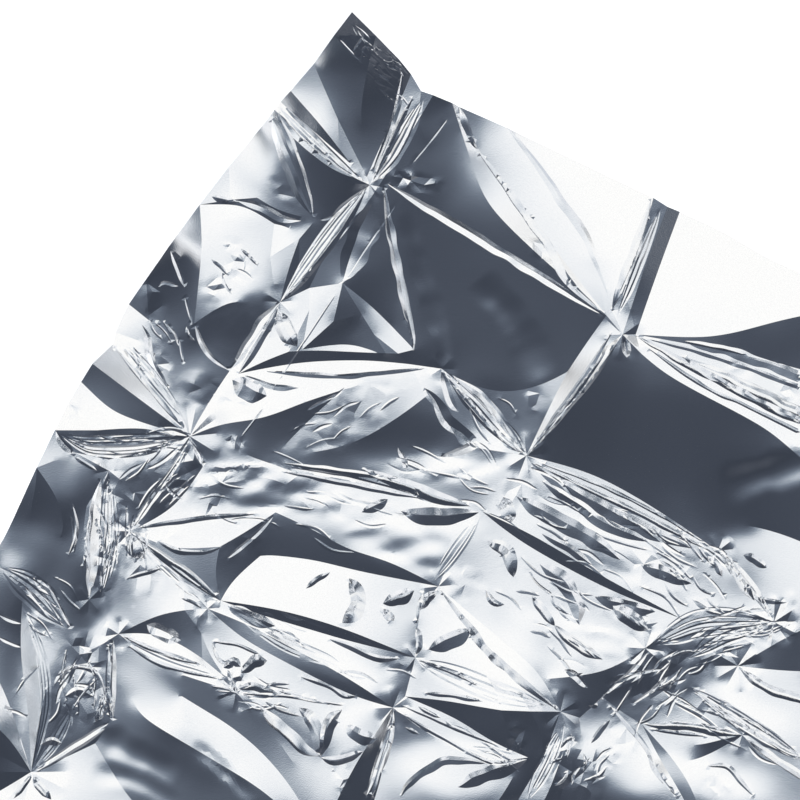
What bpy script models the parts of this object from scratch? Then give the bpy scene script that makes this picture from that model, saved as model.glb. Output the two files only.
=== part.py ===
"""Emergency foil blanket: a square-cut length of metallised film, opened out of its pack and laid down.

The sheet is one thin solid. Its folds were read off a photograph, so the tables below hold picture
positions, and the heights are worked out from how far each panel between the folds leans.
"""
import math
import random

import bpy
import numpy as np
from mathutils import Vector
from mathutils.geometry import delaunay_2d_cdt
from mathutils.kdtree import KDTree

# Real sizes, in metres
FOLD_PITCH = 0.120
SHEET_THICKNESS = 0.0012
FOOT_REACH = 0.055
FOOT_ROUNDS = 3
FOOT_SINK = 0.0012
FOLD_STEP = 0.012
PANEL_STEP = 0.0125
PANEL_GAP = 0.0065
PANEL_JITTER = 0.25
SNAP = 0.0016

# The photograph: how far apart the two long pack folds are in it, and how it looks down on the floor
FOLD_PITCH_PIXELS = 285.0
LOOK_DOWN = math.radians(60.0)
SHEET_TURN = math.radians(30.0)
FRAME = 800.0

# How stiffly the height solver follows each wish
LEAN_SIDE = math.radians(105.0)
KEEP_LEAN = 1.0
LARGE_PANEL = 0.002
KEEP_REST = 0.02
KEEP_CROSS = 0.08
KEEP_SMOOTH = 0.20
KEEP_LOW = 3.0
KEEP_FEET = 1.0e6

# Film colour, as metal
FILM_COLOR = (0.78, 0.80, 0.84, 1.0)
FILM_ROUGHNESS = 0.16

# Corners of the sheet, in pixels. The far corners lie outside the picture and close the sheet plainly
TIP = (352, 12)
RIGHT = (1176, 424)
NEAR = (652, 1210)
LEFT = (-172, 798)

# Places where many folds meet, in pixels
A1, A2, A3, A4 = (370, 186), (281, 303), (192, 436), (37, 766)
B1, B2, B3, B4, B5 = (621, 335), (525, 455), (481, 510), (438, 584), (393, 703)
C1, C2, C3 = (714, 549), (769, 619), (733, 662)
KNEE = (441, 369)
WEST = (133, 530)
SADDLE = (277, 511)
PLATE = (223, 598)
HINGE = (558, 707)
FORK = (238, 688)
LEAF = (122, 631)
CURL = (316, 221)
EYE = (196, 324)

# The sheet's edge, from the tip round by the right corner
EDGE_RIGHT = [TIP, (376, 36), (399, 60), (411, 75), (421, 92), (433, 96), (452, 104), (459, 108),
              (506, 129), (556, 153), (604, 176), (652, 199), (666, 208), (678, 213), (726, 235),
              (762, 258), (850, 296), (930, 326), (1010, 358), (1096, 392), RIGHT]
EDGE_FAR = [RIGHT, (1104, 530), (1040, 630), (980, 716), (910, 822), (850, 912), (790, 1002),
            (720, 1104), NEAR]
EDGE_NEAR = [NEAR, (566, 1144), (478, 1096), (392, 1050), (300, 1004), (222, 966), (150, 930),
             (70, 890), (-20, 856), (-100, 826), LEFT]
EDGE_LEFT = [LEFT, (-128, 735), (-85, 672), (-40, 604), (8, 540), (24, 503), (40, 467), (58, 430),
             (70, 405), (84, 382), (95, 364), (115, 345), (118, 333), (124, 318), (131, 305),
             (148, 280), (170, 248), (201, 206), (230, 168), (269, 120), (275, 111), (281, 103),
             (291, 92), (314, 65), (334, 36), TIP]

# One row a fold: whether it is sharp, then its run in pixels
FOLDS = [
    ("sharp", (411, 75), (392, 122), (367, 178), A1),
    ("sharp", (421, 92), (396, 140), A1),
    ("sharp", (433, 96), (404, 145), (383, 181), A1),
    ("sharp", A1, (331, 219), (300, 265), A2),
    ("sharp", (383, 181), (345, 235), A2),
    ("sharp", A2, (258, 336), (231, 371), (200, 420), A3),
    ("sharp", A2, (268, 335), (240, 374), (231, 371)),
    ("sharp", (314, 65), (338, 120), (367, 178)),
    ("sharp", (291, 92), (325, 131), (352, 166), A1),
    ("sharp", (281, 103), (316, 134), (352, 166)),
    ("sharp", (275, 111), (309, 146), (352, 178), A1),
    ("sharp", (275, 111), (293, 146), CURL, (331, 219)),
    ("soft", (269, 120), (279, 160), (298, 200), CURL),
    ("sharp", (201, 206), (258, 199), (280, 213), CURL),
    ("sharp", (201, 206), (247, 207), (275, 225), (293, 229), CURL),
    ("sharp", CURL, (300, 240), (289, 270), A2),
    ("soft", (201, 206), (204, 245), (201, 275), EYE),
    ("sharp", EYE, (222, 306), (245, 299), A2),
    ("sharp", EYE, (199, 338), (209, 352), (231, 371)),
    ("sharp", (131, 305), (151, 321), (152, 345), (163, 375), (180, 405), A3),
    ("sharp", (115, 345), (150, 386), A3),
    ("sharp", (95, 364), (143, 400), A3),
    ("soft", (84, 382), (110, 408), (150, 424), A3),
    ("sharp", (58, 430), (100, 430), (140, 427), A3),
    ("sharp", (58, 430), (78, 452), (112, 459), (150, 451), A3),
    ("soft", (78, 452), (112, 470), (150, 462), A3),
    ("sharp", (112, 470), (90, 505), (86, 530), (93, 597)),
    ("sharp", (112, 470), (124, 520), (118, 560), (93, 597)),
    ("sharp", A3, (160, 478), WEST),
    ("sharp", A3, (186, 465), (170, 485), WEST),
    ("sharp", (170, 485), (184, 498), (165, 514), WEST),
    ("sharp", A3, (205, 466), (184, 498)),
    ("sharp", A3, (220, 450), (244, 454)),
    ("sharp", (205, 466), (244, 454), (300, 473), (362, 486), (400, 496), (440, 501), B3),
    ("sharp", WEST, (200, 517), SADDLE),
    ("sharp", WEST, (180, 548), (222, 545), SADDLE),
    ("sharp", WEST, (178, 565), PLATE),
    ("sharp", WEST, (165, 566), (210, 606)),
    ("sharp", WEST, (118, 590), (108, 640)),
    ("sharp", PLATE, (216, 570), (222, 545)),
    ("sharp", PLATE, (234, 578), (262, 554), (272, 553)),
    ("sharp", (272, 553), (315, 558), (360, 569), B4),
    ("sharp", SADDLE, (316, 529), (345, 546), (390, 560), B4),
    ("sharp", SADDLE, (264, 535), (262, 554)),
    ("sharp", PLATE, (280, 607), (340, 624), (415, 654)),
    ("sharp", PLATE, (262, 612), (300, 623), (340, 635), (415, 654)),
    ("sharp", (210, 606), (250, 622), (300, 648), (345, 672), B5),
    ("sharp", (210, 606), (240, 632), (290, 660), (350, 690), B5),
    ("sharp", B4, (417, 615), (415, 654)),
    ("sharp", B3, (458, 548), B4),
    ("sharp", B4, (468, 620), (515, 664), HINGE),
    ("sharp", B4, (480, 620), (540, 672), HINGE),
    ("sharp", (415, 654), (470, 678), (520, 692), HINGE),
    ("sharp", (415, 654), (468, 620)),
    ("sharp", (415, 654), (402, 676), B5),
    ("sharp", (415, 654), (405, 692), B5),
    ("sharp", (405, 692), (450, 697), (500, 706), HINGE),
    ("sharp", (405, 692), (460, 716), (490, 737), (526, 752)),
    ("sharp", B5, (430, 730), (480, 755), (526, 752)),
    ("sharp", HINGE, (526, 752), (500, 790), (478, 850), (478, 1096)),
    ("sharp", HINGE, (540, 755), (518, 790), (500, 850), (478, 1096)),
    ("sharp", B5, (375, 730), (358, 755), (340, 790), (318, 850), (300, 1004)),
    ("sharp", B5, (387, 745), (376, 790), (350, 860), (300, 1004)),
    ("sharp", HINGE, (568, 730), (577, 713)),
    ("sharp", (540, 672), (580, 684), HINGE),
    ("sharp", (642, 645), (606, 686), (577, 713)),
    ("sharp", (545, 675), (600, 668), (642, 645)),
    ("sharp", FORK, (280, 735), (313, 790), (340, 850)),
    ("sharp", FORK, (300, 700), (350, 703), B5),
    ("sharp", FORK, (270, 716), (300, 740), (322, 752), (345, 750), (375, 728), B5),
    ("sharp", LEAF, (165, 611), (210, 606)),
    ("sharp", (210, 606), (204, 630), (212, 652), (228, 674), FORK),
    ("sharp", LEAF, (150, 629), (180, 638), (205, 655), (228, 674)),
    ("sharp", LEAF, (160, 645), (228, 674)),
    ("sharp", LEAF, (165, 663), FORK),
    ("soft", LEAF, (134, 700), (200, 745), (272, 790), (330, 850)),
    ("sharp", LEAF, (120, 680), (116, 716)),
    ("soft", (157, 664), (200, 675), FORK),
    ("soft", (157, 664), (185, 692), (225, 716), (262, 745), (298, 788), (330, 850)),
    ("sharp", (116, 716), (75, 742), A4),
    ("sharp", (88, 650), (108, 662), (116, 716)),
    ("sharp", (88, 650), (58, 700), A4),
    ("sharp", (75, 625), (52, 680), A4),
    ("sharp", (27, 600), (26, 650), (34, 710), A4),
    ("sharp", (27, 600), (42, 650), (48, 700), A4),
    ("sharp", A4, (100, 738), (116, 716)),
    ("sharp", A4, (103, 790), (150, 808), (222, 966)),
    ("sharp", A4, (52, 800), (70, 890)),
    ("sharp", A4, (8, 784), (-40, 806), (-100, 826)),
    ("sharp", A4, (8, 682), (-40, 604)),
    ("sharp", A4, (8, 725), (-50, 690), (-85, 672)),
    ("soft", (100, 738), (132, 790), (150, 808)),
    ("sharp", (75, 625), (50, 577), (8, 556), (-40, 604)),
    ("sharp", (50, 577), (27, 600), (8, 585), (-40, 604)),
    ("sharp", (93, 597), (75, 625), (88, 650), (93, 597)),
    ("sharp", (88, 650), (108, 640), LEAF),
    ("sharp", A1, (383, 181), (440, 214), (490, 246), (550, 285), (605, 316)),
    ("sharp", (452, 104), (470, 160), (486, 202), (524, 243), (605, 316)),
    ("sharp", (459, 108), (478, 150), (520, 205), (560, 258), (605, 316)),
    ("sharp", (506, 129), (542, 172), (584, 235), (605, 316)),
    ("sharp", (652, 199), (641, 240), (620, 290), (605, 316)),
    ("sharp", (666, 208), (645, 262), B1),
    ("sharp", (678, 213), (655, 275), (634, 335)),
    ("sharp", (605, 316), B1, (634, 335)),
    ("sharp", (605, 316), (566, 372), B2),
    ("sharp", B1, (580, 392), B2),
    ("sharp", B2, (503, 484), B3),
    ("soft", (634, 335), (700, 338), (745, 330), (800, 316), (880, 312), (1010, 358)),
    ("sharp", (634, 335), (700, 347), (760, 360), (820, 376), (900, 404)),
    ("sharp", (634, 335), (690, 366), (745, 394), (800, 422), (900, 466), (980, 716)),
    ("soft", B1, (660, 372), (720, 405), (765, 430), (800, 460), (850, 500)),
    ("soft", B2, (590, 473), (650, 506), C1),
    ("sharp", B2, (620, 505), C1),
    ("sharp", C1, (722, 532), (745, 524), (800, 541), (850, 570)),
    ("sharp", C1, (748, 590), C2),
    ("sharp", C2, (782, 600), (800, 572), (850, 570)),
    ("sharp", B3, (530, 533), (600, 574), (678, 616)),
    ("sharp", B3, (520, 540), (600, 584), (678, 616)),
    ("sharp", (678, 616), (720, 608), C2),
    ("sharp", (642, 645), (678, 616)),
    ("sharp", (642, 645), (700, 628), C2),
    ("sharp", (681, 660), (720, 640), C2),
    ("sharp", C3, C2),
    ("sharp", C3, (800, 625), (880, 600)),
    ("sharp", C2, (800, 604), (880, 600)),
    ("sharp", C3, (780, 648), (830, 640)),
    ("sharp", C3, (780, 667), (830, 668)),
    ("sharp", C3, (765, 680), (830, 702)),
    ("sharp", (642, 645), (660, 662), (681, 660), C3),
    ("sharp", (600, 693), (640, 690), (668, 672), (681, 660)),
    ("sharp", (642, 645), (600, 693), (577, 713)),
    ("sharp", (600, 693), (638, 719), (690, 720), (737, 730)),
    ("sharp", (638, 719), (679, 758), (737, 730)),
    ("sharp", (679, 758), (692, 741), (737, 730)),
    ("sharp", (638, 719), (655, 752), (678, 790), (706, 850)),
    ("sharp", (638, 719), (664, 748), (690, 788), (706, 850)),
    ("sharp", (600, 693), (640, 742), (668, 788), (706, 850)),
    ("sharp", (681, 660), (700, 686), (740, 714), (800, 755), (910, 822)),
    ("sharp", (668, 672), (700, 700), (737, 730), (800, 768), (910, 822)),
    ("sharp", (679, 758), (720, 758), (745, 790), (770, 830), (790, 1002)),
    ("sharp", (737, 730), (765, 750), (800, 776), (850, 800)),
    ("sharp", C3, (700, 686)),
    ("sharp", (568, 730), (545, 790), (530, 850), (566, 1144)),
    ("sharp", (530, 850), (585, 862), (636, 870)),
    ("sharp", (568, 730), (590, 770), (602, 795), (636, 870), (690, 940)),
    ("sharp", (240, 374), (290, 352), (345, 352), (398, 354), (414, 350)),
    ("sharp", (240, 374), (300, 363), (375, 361), KNEE),
    ("sharp", (240, 374), (276, 386), (310, 392), (343, 390), (390, 378), KNEE),
    ("sharp", (383, 181), (390, 240), (402, 300), (414, 350), KNEE),
    ("sharp", A2, (310, 289), (343, 284), (370, 305), (414, 350)),
    ("sharp", (343, 284), (362, 315), (388, 357)),
    ("soft", (343, 284), (334, 322), (303, 350)),
    ("soft", (303, 350), (345, 343), (388, 357)),
    ("sharp", A3, (225, 422), (262, 420), (300, 404), (343, 390)),
    ("sharp", (244, 454), (280, 450), (310, 420), (343, 390)),
    ("sharp", (280, 450), (310, 452), (360, 440), (425, 397), KNEE),
    ("sharp", (280, 450), (300, 473)),
    ("sharp", (280, 462), (362, 467)),
    ("sharp", (360, 440), (362, 467), (405, 470), (460, 445), (425, 397)),
    ("sharp", KNEE, (480, 415), B2),
    ("sharp", KNEE, (500, 425), B2),
    ("sharp", (460, 445), B2),
    ("sharp", (405, 470), B2),
    ("sharp", (362, 467), (440, 490), B3),
    ("soft", KNEE, (470, 386), (505, 394), (540, 386), (566, 372)),
    ("sharp", (930, 326), (900, 404), (900, 466), (850, 500), (850, 570), (880, 600), (830, 668),
     (910, 822)),
    ("sharp", (900, 466), (980, 520), (1040, 630)),
    ("sharp", (910, 822), (850, 912)),
    ("sharp", (340, 850), (420, 930), (478, 1096)),
    ("sharp", (706, 850), (690, 940), (720, 1104)),
]

# Rise over run of a panel towards the side that the light comes from
LEANS = {"black": -0.20, "dark": -0.10, "slate": 0.0, "mid": 0.09, "light": 0.17, "white": 0.28}

# Each row is a lean, then a spot inside every panel that leans so, in pixels
PANELS = [
    ("black", (360, 110), (318, 127), (325, 190), (262, 208), (340, 358), (350, 325), (660, 440)),
    ("black", (705, 745), (290, 615), (290, 648), (570, 760), (12, 755), (360, 770), (600, 579)),
    ("dark", (285, 150), (175, 285), (230, 330), (500, 330), (440, 170), (125, 400), (110, 445)),
    ("dark", (65, 500), (270, 432), (425, 430), (310, 540), (240, 550), (760, 345), (310, 245)),
    ("dark", (15, 650), (160, 760), (490, 722), (522, 765), (590, 690), (668, 768), (155, 618)),
    ("dark", (652, 268), (780, 658), (215, 695), (635, 672), (191, 476), (547, 684), (116, 666)),
    ("slate", (380, 270), (165, 497), (185, 560), (310, 457), (640, 270), (404, 681), (205, 450)),
    ("slate", (276, 457), (487, 416), (472, 452), (706, 615), (84, 634), (60, 684)),
    ("mid", (330, 645), (406, 135), (135, 500), (330, 466), (655, 700), (160, 489), (52, 655)),
    ("mid", (700, 650), (780, 748), (80, 700), (46, 641), (0, 572), (706, 639), (446, 472)),
    ("light", (245, 185), (335, 238), (545, 225), (510, 425), (620, 540), (560, 610), (1000, 560)),
    ("light", (300, 495), (190, 530), (105, 530), (140, 600), (474, 431), (720, 365), (760, 560)),
    ("light", (350, 425), (260, 650), (310, 767), (430, 790), (625, 760), (740, 700), (665, 738)),
    ("light", (730, 790), (620, 490), (115, 462), (450, 545), (195, 490), (620, 712), (176, 662)),
    ("white", (315, 90), (305, 142), (240, 265), (385, 335), (320, 370), (600, 220), (720, 290)),
    ("white", (125, 372), (140, 335), (95, 412), (330, 595), (450, 610), (490, 672), (715, 390)),
    ("white", (505, 205), (270, 395), (260, 350), (450, 735), (330, 720), (560, 395), (460, 690)),
    ("white", (300, 320), (1000, 420), (620, 900), (60, 840), (180, 710), (165, 640), (18, 715)),
    ("white", (75, 780), (33, 640), (510, 655), (540, 770), (106, 775), (252, 348)),
    ("dark", (905, 611), (82, 743)),
    ("mid", (810, 823), (808, 614), (712, 669)),
    ("light", (386, 966), (829, 585), (388, 138)),
]


def clear_objects():
    for thing in list(bpy.data.objects):
        bpy.data.objects.remove(thing, do_unlink=True)


def scale():
    """Metres of floor across the picture for one pixel."""
    return FOLD_PITCH / FOLD_PITCH_PIXELS


def picture_point(pixel):
    """Metres right of the tip and metres up the picture from it."""
    return Vector(((pixel[0] - TIP[0]) * scale(), (TIP[1] - pixel[1]) * scale()))


def smooth_run(pixels):
    """A curve through the run's points, sampled at even steps, as picture points."""
    stops = [picture_point(pixel) for pixel in pixels]
    padded = [stops[0] * 2 - stops[1]] + stops + [stops[-1] * 2 - stops[-2]]
    samples = [stops[0]]
    for before, start, end, after in zip(padded, padded[1:], padded[2:], padded[3:]):
        count = max(1, round((end - start).length / FOLD_STEP))
        for step in range(1, count + 1):
            t = step / count
            bend = (end - before) * 0.5 * (t ** 3 - 2 * t ** 2 + t)
            bend += (after - start) * 0.5 * (t ** 3 - t ** 2)
            blend = 3 * t ** 2 - 2 * t ** 3
            samples.append(start.lerp(end, blend) + bend)
    return samples


def straight_run(pixels):
    """The edge of the sheet, point to point, at even steps."""
    samples = [picture_point(pixels[0])]
    for first, last in zip(pixels, pixels[1:]):
        start, end = picture_point(first), picture_point(last)
        count = max(1, round((end - start).length / FOLD_STEP))
        samples += [start.lerp(end, step / count) for step in range(1, count + 1)]
    return samples


class Pattern:
    """Points and lines of the fold pattern, with near points merged."""

    def __init__(self):
        self.points = []
        self.lines = []
        self.kinds = {}

    def add_point(self, point):
        for index, known in enumerate(self.points):
            if (known - point).length < SNAP:
                return index
        self.points.append(point)
        return len(self.points) - 1

    def add_run(self, samples, kind):
        indices = [self.add_point(sample) for sample in samples]
        for first, last in zip(indices, indices[1:]):
            if first != last:
                self.lines.append((first, last))
                self.kinds.setdefault(len(self.lines) - 1, kind)


def inside(point, loop):
    """Whether a picture point lies inside the closed loop."""
    found = False
    for start, end in zip(loop, loop[1:] + loop[:1]):
        if (start.y > point.y) != (end.y > point.y):
            cross = start.x + (point.y - start.y) / (end.y - start.y) * (end.x - start.x)
            if point.x < cross:
                found = not found
    return found


def draw_pattern():
    """The edge, the folds and a field of points between them."""
    pattern = Pattern()
    loop = []
    for pixels in (EDGE_RIGHT, EDGE_FAR, EDGE_NEAR, EDGE_LEFT):
        samples = straight_run(pixels)
        pattern.add_run(samples, "edge")
        loop += samples[:-1]
    for kind, *pixels in FOLDS:
        pattern.add_run(smooth_run(pixels), kind)
    tree = KDTree(len(pattern.points))
    for index, point in enumerate(pattern.points):
        tree.insert(point.to_3d(), index)
    tree.balance()
    for spot in field_points(loop):
        if inside(spot, loop) and tree.find(spot.to_3d())[2] > PANEL_GAP:
            pattern.points.append(spot)
    return pattern, loop


def field_points(loop):
    """A jittered grid over the sheet, half as dense where the picture doesn't reach."""
    jitter = random.Random(7)
    left = min(point.x for point in loop)
    bottom = min(point.y for point in loop)
    row_step = PANEL_STEP * math.sin(LOOK_DOWN)
    columns = math.ceil((max(point.x for point in loop) - left) / PANEL_STEP)
    rows = math.ceil((max(point.y for point in loop) - bottom) / row_step)
    for row in range(rows):
        for column in range(columns):
            spot = Vector((left + column * PANEL_STEP, bottom + row * row_step))
            if in_picture(spot) or (row % 2 == 0 and column % 2 == 0):
                spot.x += jitter.uniform(-PANEL_JITTER, PANEL_JITTER) * PANEL_STEP
                spot.y += jitter.uniform(-PANEL_JITTER, PANEL_JITTER) * PANEL_STEP
                yield spot


def in_picture(point):
    """Whether a picture point falls in the photograph's frame."""
    left, top = picture_point((0.0, 0.0))
    right, bottom = picture_point((FRAME, FRAME))
    return left < point.x < right and bottom < point.y < top


def triangulate(pattern, loop):
    """Triangles of the pattern, and for each line kept in it the kind of fold it is."""
    points, edges, faces, _, edge_origins, _ = delaunay_2d_cdt(
        pattern.points, pattern.lines, [], 0, SNAP * 0.05)
    kinds = {}
    for edge, origins in zip(edges, edge_origins):
        for origin in origins:
            if kinds.get(frozenset(edge)) != "sharp":
                kinds[frozenset(edge)] = pattern.kinds[origin]
    kept = []
    for face in faces:
        centre = sum((points[index] for index in face), Vector((0.0, 0.0))) / 3.0
        if inside(centre, loop):
            kept.append(tuple(face))
    return [Vector(point) for point in points], kept, kinds


def neighbours(faces):
    """For each edge, the triangles on its two sides."""
    sides = {}
    for number, face in enumerate(faces):
        for first, last in zip(face, face[1:] + face[:1]):
            sides.setdefault(frozenset((first, last)), []).append(number)
    return sides


def covers(points, face, spot):
    a, b, c = (points[index] for index in face)
    turns = [(q - p).cross(spot - p) for p, q in ((a, b), (b, c), (c, a))]
    return min(turns) >= 0.0 or max(turns) <= 0.0


def panel_leans(points, faces, kinds, sides, areas):
    """The lean wished for on each triangle, spread over its panel, and how hard: small panels count more."""
    linked = {number: [] for number in range(len(faces))}
    for edge, pair in sides.items():
        if edge not in kinds and len(pair) == 2:
            linked[pair[0]].append(pair[1])
            linked[pair[1]].append(pair[0])
    leans = np.zeros(len(faces))
    known = np.zeros(len(faces), dtype=bool)
    emphasis = np.ones(len(faces))
    for lean, *seeds in PANELS:
        for seed in seeds:
            spot = picture_point(seed)
            queue = [number for number, face in enumerate(faces) if covers(points, face, spot)][:1]
            panel = []
            while queue:
                number = queue.pop()
                if not known[number]:
                    known[number] = True
                    panel.append(number)
                    queue += linked[number]
            leans[panel] = LEANS[lean]
            emphasis[panel] = max(1.0, math.sqrt(LARGE_PANEL / areas[panel].sum())) if panel else 1.0
    return leans, known, emphasis


def slopes_of(points, faces):
    """What each triangle's three corners add to its rise to the right and away, and its area."""
    right, away, areas = [], [], []
    for face in faces:
        a, b, c = (points[index] for index in face)
        doubled = (b - a).cross(c - a)
        sides = ((b, c), (c, a), (a, b))
        right.append([(p.y - q.y) / doubled for p, q in sides])
        away.append([(q.x - p.x) / doubled * math.sin(LOOK_DOWN) for p, q in sides])
        areas.append(abs(doubled) / 2.0)
    return np.array(right), np.array(away), np.array(areas)


def add_wish(matrix, corners, parts, weights):
    """Add to the matrix the squares of weighted sums over a few corners each."""
    for first in range(corners.shape[1]):
        for last in range(corners.shape[1]):
            share = weights * parts[:, first] * parts[:, last]
            np.add.at(matrix, (corners[:, first], corners[:, last]), share)


def lowest_spots(points, heights):
    """Points lower than all others around them, where the film meets the floor."""
    flat = np.array([tuple(point) for point in points])
    order = np.argsort(heights)
    spots = []
    for index in order:
        gaps = np.linalg.norm(flat - flat[index], axis=1)
        if heights[index] <= heights[gaps < FOOT_REACH].min():
            spots.append(index)
    return spots


def solve_heights(points, faces, kinds):
    """Heights that come closest to the wished leans, smooth within each panel, with feet on the floor."""
    sides = neighbours(faces)
    right, away, areas = slopes_of(points, faces)
    leans, known, emphasis = panel_leans(points, faces, kinds, sides, areas)
    corners = np.array(faces)
    main = right * math.cos(LEAN_SIDE) + away * math.sin(LEAN_SIDE)
    cross = away * math.cos(LEAN_SIDE) - right * math.sin(LEAN_SIDE)
    hold = areas / areas.mean() * np.where(known, KEEP_LEAN * emphasis, KEEP_REST)
    matrix = KEEP_LOW * np.eye(len(points))
    add_wish(matrix, corners, main, hold)
    add_wish(matrix, corners, cross, KEEP_CROSS * areas / areas.mean())
    pairs = [pair for edge, pair in sides.items() if len(pair) == 2 and kinds.get(edge) != "sharp"]
    first, last = np.array(pairs).T
    both = np.hstack((corners[first], corners[last]))
    for slope in (right, away):
        jump = np.hstack((slope[first], -slope[last]))
        add_wish(matrix, both, jump, np.full(len(pairs), KEEP_SMOOTH))
    wished = np.zeros(len(points))
    np.add.at(wished, corners, main * (hold * leans)[:, None])
    heights = np.linalg.solve(matrix, wished)
    for _ in range(FOOT_ROUNDS):
        feet = lowest_spots(points, heights)
        matrix[feet, feet] += KEEP_FEET
        heights = np.linalg.solve(matrix, wished)
    return heights


def settle(heights):
    """Sink the sheet a little, so that each foot is a flat patch on the floor."""
    return np.maximum(heights - FOOT_SINK, 0.0)


def sheet_points(points, heights):
    """Plan positions on the sheet's own square axes, and the heights of its top."""
    placed = []
    for point, height in zip(points, heights):
        top = float(height) + SHEET_THICKNESS
        away = (point.y - top * math.cos(LOOK_DOWN)) / math.sin(LOOK_DOWN)
        x = point.x * math.cos(SHEET_TURN) - away * math.sin(SHEET_TURN)
        y = point.x * math.sin(SHEET_TURN) + away * math.cos(SHEET_TURN)
        placed.append(Vector((x, y, top)))
    return placed


def close_sheet(top, faces):
    """Top, underside and edge of the sheet, as one closed body."""
    count = len(top)
    middle_x = (min(p.x for p in top) + max(p.x for p in top)) / 2.0
    middle_y = (min(p.y for p in top) + max(p.y for p in top)) / 2.0
    upper = [(p.x - middle_x, p.y - middle_y, p.z) for p in top]
    lower = [(x, y, z - SHEET_THICKNESS) for x, y, z in upper]
    shell = []
    for a, b, c in faces:
        turn = (top[b].xy - top[a].xy).cross(top[c].xy - top[a].xy)
        face = (a, b, c) if turn > 0.0 else (a, c, b)
        shell.append(face)
        shell.append(tuple(index + count for index in reversed(face)))
    walls = []
    for a, b, c in shell[::2]:
        walls += [(a, b), (b, c), (c, a)]
    outer = set(walls) - {(last, first) for first, last in walls}
    for first, last in sorted(outer):
        shell.append((last, first, first + count))
        shell.append((last, first + count, last + count))
    return upper + lower, shell


def film_material():
    material = bpy.data.materials.new("metallised_film")
    material.use_nodes = True
    shader = material.node_tree.nodes["Principled BSDF"]
    shader.inputs["Base Color"].default_value = FILM_COLOR
    shader.inputs["Metallic"].default_value = 1.0
    shader.inputs["Roughness"].default_value = FILM_ROUGHNESS
    return material


def build_sheet():
    pattern, loop = draw_pattern()
    points, faces, kinds = triangulate(pattern, loop)
    used = sorted({index for face in faces for index in face})
    number = {old: new for new, old in enumerate(used)}
    points = [points[index] for index in used]
    faces = [tuple(number[index] for index in face) for face in faces]
    kinds = {frozenset(number[index] for index in edge): kind for edge, kind in kinds.items()
             if all(index in number for index in edge)}
    heights = settle(solve_heights(points, faces, kinds))
    verts, shell = close_sheet(sheet_points(points, heights), faces)
    mesh = bpy.data.meshes.new("foil_sheet")
    mesh.from_pydata(verts, [], shell)
    mesh.materials.append(film_material())
    sheet = bpy.data.objects.new("foil_sheet", mesh)
    bpy.context.scene.collection.objects.link(sheet)
    return sheet


clear_objects()
build_sheet()
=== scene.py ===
"""Looks of the emergency foil blanket: creased metallised film under a soft studio light."""

import math
import random

import bmesh
import bpy
import numpy as np
from mathutils import Matrix, Vector
from mathutils.bvhtree import BVHTree
from mathutils.geometry import delaunay_2d_cdt
from mathutils.kdtree import KDTree


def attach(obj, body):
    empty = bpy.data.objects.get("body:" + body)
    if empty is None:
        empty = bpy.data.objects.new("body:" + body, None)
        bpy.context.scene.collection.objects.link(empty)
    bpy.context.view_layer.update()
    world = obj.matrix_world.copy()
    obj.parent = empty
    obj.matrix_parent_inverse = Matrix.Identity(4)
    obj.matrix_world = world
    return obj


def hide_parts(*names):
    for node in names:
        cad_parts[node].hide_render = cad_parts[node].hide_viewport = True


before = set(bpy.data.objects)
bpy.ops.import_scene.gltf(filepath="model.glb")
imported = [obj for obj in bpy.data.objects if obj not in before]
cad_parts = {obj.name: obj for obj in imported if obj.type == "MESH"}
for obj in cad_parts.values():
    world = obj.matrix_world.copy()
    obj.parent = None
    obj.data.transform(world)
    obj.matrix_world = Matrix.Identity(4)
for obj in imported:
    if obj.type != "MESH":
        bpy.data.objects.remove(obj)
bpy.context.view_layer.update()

# The photograph: its scale on the floor, how it looks down on it, and where the sheet's corner is in it
FOLD_PITCH = 0.120
FOLD_PITCH_PIXELS = 285.0
PIXEL = FOLD_PITCH / FOLD_PITCH_PIXELS
LOOK_DOWN = math.radians(60.0)
SHEET_TURN = math.radians(30.0)
TIP_PIXEL = (352.0, 12.0)
PICTURE_SIZE = 800.0

# Film
FILM_DROP = 0.0010
UPPER_SIDE = 0.15
TINY = 1.0e-6
FILM_ROUGHNESS = 0.08
GRAIN_SCALE = 2200.0
GRAIN_STRENGTH = 0.06
GRAIN_HEIGHT = 0.0005
FLOOR_GAP = 0.0002
REFINEMENTS = 3
CREASE_ANGLE = math.radians(5.0)
FOLD_ANGLE = math.radians(10.0)
CREASE_TURN = math.radians(32.0)
CREASE_ROUNDS = 3
CORNER_TURN = math.radians(35.0)
SHARP_ANGLE = math.radians(5.0)

# Mesh of the film, in pixels of the photograph
GRAIN = 1.0
LINE_STEP = 2.8 * GRAIN
FINE_STEP = 2.5 * GRAIN
FIELD_STEP = 3.3 * GRAIN
PLAIN_STEP = 7.0 * GRAIN
STEP_JITTER = 0.12
CLEARANCE = 0.62
MERGE = 0.8
PICTURE_MARGIN = 12.0
SMOOTHING_ROUNDS = 3
MOST_WEIGHT = 20.0
HIGH_ABOVE = 9999.0
PINCH = 0.35
FADE = 0.6
WAVER_SAMPLES = 6
WAVER_MOST = 1.0
WAVER_SHIFT = 0.08
WAVER_WIDTH = 0.18
LOPSIDED = 0.35
LOPSIDED_SHARE = (0.3, 1.0)
LEAST_FULL = 0.02
BAND_STEP = 20.0
RAY_SHIFT = 0.32
FACET_SHIFT = 0.38
EVENING = 0.6
TILT_FADE = 0.35
HAIR_BOW = 0.30
TILT_STIFFNESS = 0.6
TILT_CROSS = 0.05
TILT_REST = 0.0001
TILT_ROUNDS = 500
RIPPLE_WAVES = 7
RIPPLE_BEND = 0.9

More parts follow.
